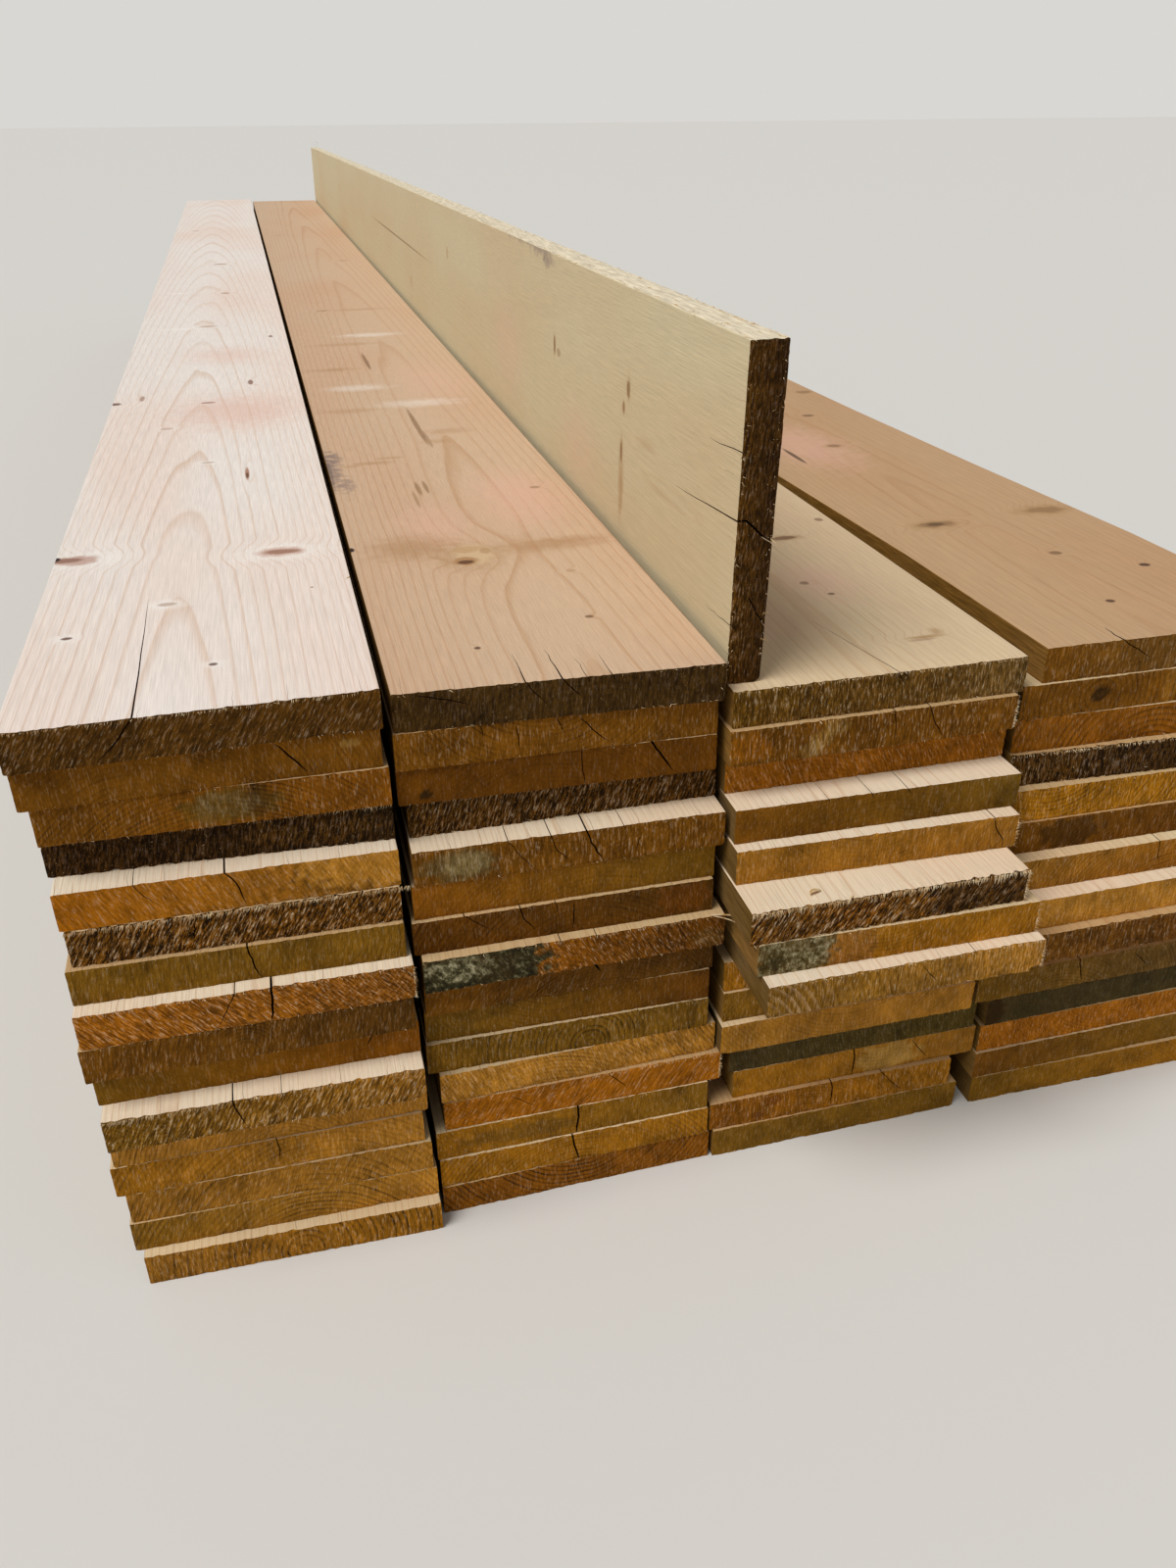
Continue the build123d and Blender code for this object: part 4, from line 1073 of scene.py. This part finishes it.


# Tones of the planed faces, a lit and a shaded copy: pale where a board stands out by more than STANDS_OUT,
# tan where it is tucked in, a painted shade; of the narrow sawn edges, browner partly with painted shade; and
# of the faces that lie open, those of columns 2 to 4 darker partly with painted shade.
STANDS_OUT = 9 * MM
LIT_FACE_TONES = ["efe0c6", "ead7bb", "f1e5d0", "e8d5b8", "ecdcc2"]
SHADED_FACE_TONES = ["d6bd92", "cbae80", "dec79e", "c09f70"]
# painted shade: these edge tones are darkened for the shade that lies on the board sides in the gaps
EDGE_TONES_WITH_SHADE = ["7a5722", "6c5022", "85602a", "624a22", "8e6a30", "72541f"]
# painted shade: columns 2 to 4 are tan and darker than column 1 partly for the shade that lay over them
TOP_TONES_WITH_SHADE = {1: "efe5dc", 2: "d0b293", 3: "dac19c", 4: "c29f78"}
TOP_LINES = {1: 0.55, 2: 0.6, 3: 0.4, 4: 0.4}
TOP_DRIFTS = {1: 25.0, 2: 7.0, 3: 9.0, 4: 12.0}


def marks_from(side, marks):
    """Marks in the stack's own metres, counted from a board's left side, or from its foot."""
    return [(side + across * MM, FRONT + along * MM, half_across * MM, half_along * MM, *look)
            for across, along, half_across, half_along, *look in marks]


def finish_piece(board, node):
    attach(board, "root")
    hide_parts(node)


def flat_boards(sliver, end, check, fibre):
    plain_rings = END_RINGS + [2000] + FAR_RINGS
    crook_rings = END_RINGS + [80, 200, 425, 680, 950, 2000, 3000] + FAR_RINGS
    plain = blank_board(FLAT_WIDE, FLAT_THICK, 100, 12, plain_rings)
    torn_blank = blank_board(FLAT_WIDE, FLAT_THICK, 180, 22, plain_rings)
    open_top = blank_board(FLAT_WIDE, FLAT_THICK, 100, 12, crook_rings)
    layers = sorted(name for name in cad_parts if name.startswith("layer_"))
    boards = [boards_in(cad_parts[layer]) for layer in layers]
    face = spruce_face("Pale_sawn_spruce_face")
    for layer_number, (layer, row) in enumerate(zip(layers, boards), start=1):
        for column, points in enumerate(row, start=1):
            number = len(ENDS[column]) - layer_number + 1
            seed = column * 100 + number
            rng = random.Random(seed)
            looks = ENDS[column][number - 1]
            blank = open_top if number == 1 else torn_blank if looks[2] >= 0.9 else plain
            mesh = blank.data.copy()
            board = bpy.data.objects.new("column_%d_board_%02d" % (column, number), mesh)
            bpy.context.scene.collection.objects.link(board)
            place = lay_flat(mesh, points)
            board_face, tone = face, rng.choice(LIT_FACE_TONES)
            # painted shade: a board tucked in under the one above gets a tan shaded tone in place of a pale
            # lit one
            if number > 1 and boards[layer_number][column - 1][:, 1].min() - points[:, 1].min() < STANDS_OUT:
                tone = rng.choice(SHADED_FACE_TONES)
            if number == 1:
                tone = TOP_TONES_WITH_SHADE[column]
                marks = marks_from(place["left"], TOP_MARKS[column])
                name = "Open_spruce_face_column_%d" % column
                board_face = spruce_face(name, marks, line_strength=TOP_LINES[column])
            for material in (board_face, end, check, fibre):
                mesh.materials.append(material)
            roughen_ends(mesh, place, looks[2], looks[4], seed)
            for gape, depth, line in CHECKS.get((column, number), ()):
                slant = CHECK_SLANTS.get((column, number), (0, 0))
                carve(board, check_blade(gape, depth, line, slant, place, rng), IN_CHECKS)
            if (column, number) == (3, 8):
                broken_corner(board, place)
            spots = end_slivers(place, looks[2], seed)
            spots += fringe_slivers(place, FRINGES.get((column, number), ()), seed)
            curls = [shaving(*curl, place) for curl in SHAVINGS.get((column, number), ())]
            join_fibres(board, [slivers_at(sliver, spots)] + curls)
            stains = STAINS.get((column, number), ())
            drift = TOP_DRIFTS[column] if number == 1 else rng.uniform(9, 15)
            paint_board(board.data, place, looks, stains, seed, tone, rng.choice(EDGE_TONES_WITH_SHADE), drift)
            finish_piece(board, layer)
    for blank in (plain, torn_blank, open_top):
        bpy.data.objects.remove(blank)


def end_corners(points, near):
    """The corners of one end of the standing solid: lower left, lower right, upper left, upper right."""
    y = points[:, 1].min() if near else points[:, 1].max()
    rim = points[abs(points[:, 1] - y) < 30 * MM]
    corners = []
    for up, z in ((-1, rim[:, 2].min()), (1, rim[:, 2].max())):
        for side in (-1, 1):
            spot = rim[np.argmax(side * rim[:, 0] + up * rim[:, 2] * 0.4)]
            corners.append(np.array((spot[0], y, z)))
    return y, corners


def standing_board(sliver, end, check, fibre):
    """The board that stands on its edge: as deep as the others are wide, narrower at its far end."""
    points = np.array([v.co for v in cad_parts["board_on_edge"].data.vertices])
    near_y, near_corners = end_corners(points, True)
    far_y, far_corners = end_corners(points, False)
    rings = END_RINGS + list(range(40, 1000, 14)) + [1200, 2000, 3000] + FAR_RINGS
    board = blank_board(STANDING_THICK, STANDING_TALL, 12, 100, rings)
    board.name = "standing_board"
    mesh = board.data
    places = coordinates(mesh)
    across, up = places[:, 0] / STANDING_THICK + 0.5, places[:, 2] / STANDING_TALL + 0.5
    share = places[:, 1] / BOARD_LONG
    fitted = np.zeros_like(places)
    for corners, weight in ((near_corners, 1 - share), (far_corners, share)):
        lower_left, lower_right, upper_left, upper_right = corners
        lower = np.outer(1 - across, lower_left) + np.outer(across, lower_right)
        upper = np.outer(1 - across, upper_left) + np.outer(across, upper_right)
        fitted += (lower * (1 - up)[:, None] + upper * up[:, None]) * weight[:, None]
    fitted[:, 1] = near_y + (far_y - near_y) * share
    # its lower right edge is worn back further than the others
    worn = np.maximum(FOOT_EASE - (1 - across) * STANDING_THICK - up * STANDING_TALL, 0)
    fitted[:, 0] -= worn / 2
    fitted[:, 2] += worn / 2
    # the sawn upper edge is ragged: it dips by up to a millimetre between torn strands
    for i in np.flatnonzero(up > 0.97):
        x, y, z = fitted[i]
        ragged = 0.5 + 0.5 * noise.noise(Vector((x * 160, y * 55, 3.3)))
        ragged += 0.3 * noise.noise(Vector((x * 400, y * 16, 8.1)))
        fitted[i, 2] = z - max(ragged, 0) * 1.1 * MM * (up[i] - 0.97) / 0.03
    mesh.vertices.foreach_set("co", fitted.ravel())
    foot, head = points[:, 2].min(), points[:, 2].max()
    place = dict(left=near_corners[0][0], right=near_corners[1][0], bottom=foot, top=head,
                 lean=near_corners[2][0] - near_corners[0][0], near_left=near_y, near_right=near_y)
    marks = marks_from(foot, STANDING_MARKS)
    board_face = spruce_face("Open_spruce_face_on_edge", marks, upright=True, line_strength=0.22)
    for material in (board_face, end, check, fibre):
        mesh.materials.append(material)
    roughen_ends(mesh, place, STANDING_END[2], STANDING_END[4], 501)
    rng = random.Random(502)
    for gape, depth, line, slant in STANDING_CHECKS:
        carve(board, check_blade(gape, depth, line, slant, place, rng), IN_CHECKS)
    spots = end_slivers(place, 0.9, 503)
    # two pale splinters stand off the right rim, beside the checks
    for up, length in ((92, 10), (30, 6)):
        root = (place["right"] + place["lean"] * up * MM / STANDING_TALL - 1.2 * MM, near_y + 1.5 * MM,
                foot + up * MM)
        spots.append((root, (0.75, -0.25, -0.6), length * MM, 1.5 * MM, PALE_FIBRE))
    # strands torn up along the sawn upper edge
    for _ in range(900):
        t = rng.uniform(0.004, 1) ** 1.5 * 0.97
        left = near_corners[2] * (1 - t) + far_corners[2] * t
        right = near_corners[3] * (1 - t) + far_corners[3] * t
        side = rng.choice((rng.uniform(0.03, 0.12), rng.uniform(0.88, 0.97), rng.uniform(0.05, 0.95)))
        root = left + (right - left) * side - np.array((0, 0, 0.7 * MM))
        way = (rng.gauss(0, 0.25), rng.choice((-1, 1)), rng.uniform(0.0, 0.12))
        spots.append((tuple(root), way, rng.uniform(3, 12) * MM, rng.uniform(0.3, 0.7) * MM, PALE_FIBRE))
    join_fibres(board, [slivers_at(sliver, spots)])
    paint_board(board.data, place, STANDING_END, (), 501, "cfc19c", "e6d8bc")
    finish_piece(board, "board_on_edge")


def floor():
    deselect()
    bpy.ops.mesh.primitive_plane_add(size=80, location=(0, 0, 0))
    ground = bpy.context.object
    ground.name = "floor"
    material, tree, surface = new_material("Pale_floor")
    plug(tree, surface, {"Base Color": linear("d9d6d0"), "Roughness": 0.95})
    ground.data.materials.append(material)


def studio():
    scene = bpy.context.scene
    lamp = bpy.data.lights.new("softbox", "SUN")
    lamp.energy, lamp.angle = 2.5, math.radians(35)
    holder = bpy.data.objects.new("softbox", lamp)
    scene.collection.objects.link(holder)
    holder.rotation_euler = Vector((0.5, 0.22, -0.85)).to_track_quat("-Z", "Y").to_euler()
    world = bpy.data.worlds.new("studio")
    world.use_nodes = True
    tree = world.node_tree
    tree.nodes.clear()
    sees = add(tree, "LightPath").outputs["Is Camera Ray"]
    light = add(tree, "Background", {"Color": (1, 1, 1, 1), "Strength": 0.3})
    shown = add(tree, "Background", {"Color": linear("d9d7d3"), "Strength": 1.0})
    mixed = add(tree, "MixShader", {0: sees, 1: light, 2: shown})
    add(tree, "OutputWorld", {"Surface": mixed})
    scene.world = world
    scene.view_settings.view_transform = "Standard"


def camera():
    data = bpy.data.cameras.new("camera")
    data.lens, data.sensor_width = FOCAL_LENGTH, FILM_LONG_SIDE
    data.clip_start, data.clip_end = 0.05, 100
    holder = bpy.data.objects.new("camera", data)
    bpy.context.scene.collection.objects.link(holder)
    turn = Matrix.Rotation(-LENS_HEADING, 3, "Z") @ Matrix.Rotation(math.pi / 2 - LENS_DIP, 3, "X")
    turn = turn @ Matrix.Rotation(-LENS_ROLL, 3, "Z")
    holder.location, holder.rotation_euler = LENS_AT, turn.to_euler()
    bpy.context.scene.camera = holder


camera()
studio()
floor()
fibre_sliver = one_sliver()
finishes = (spruce_end(), dark_check(), torn_fibre())
flat_boards(fibre_sliver, *finishes)
standing_board(fibre_sliver, *finishes)
bpy.data.objects.remove(fibre_sliver)
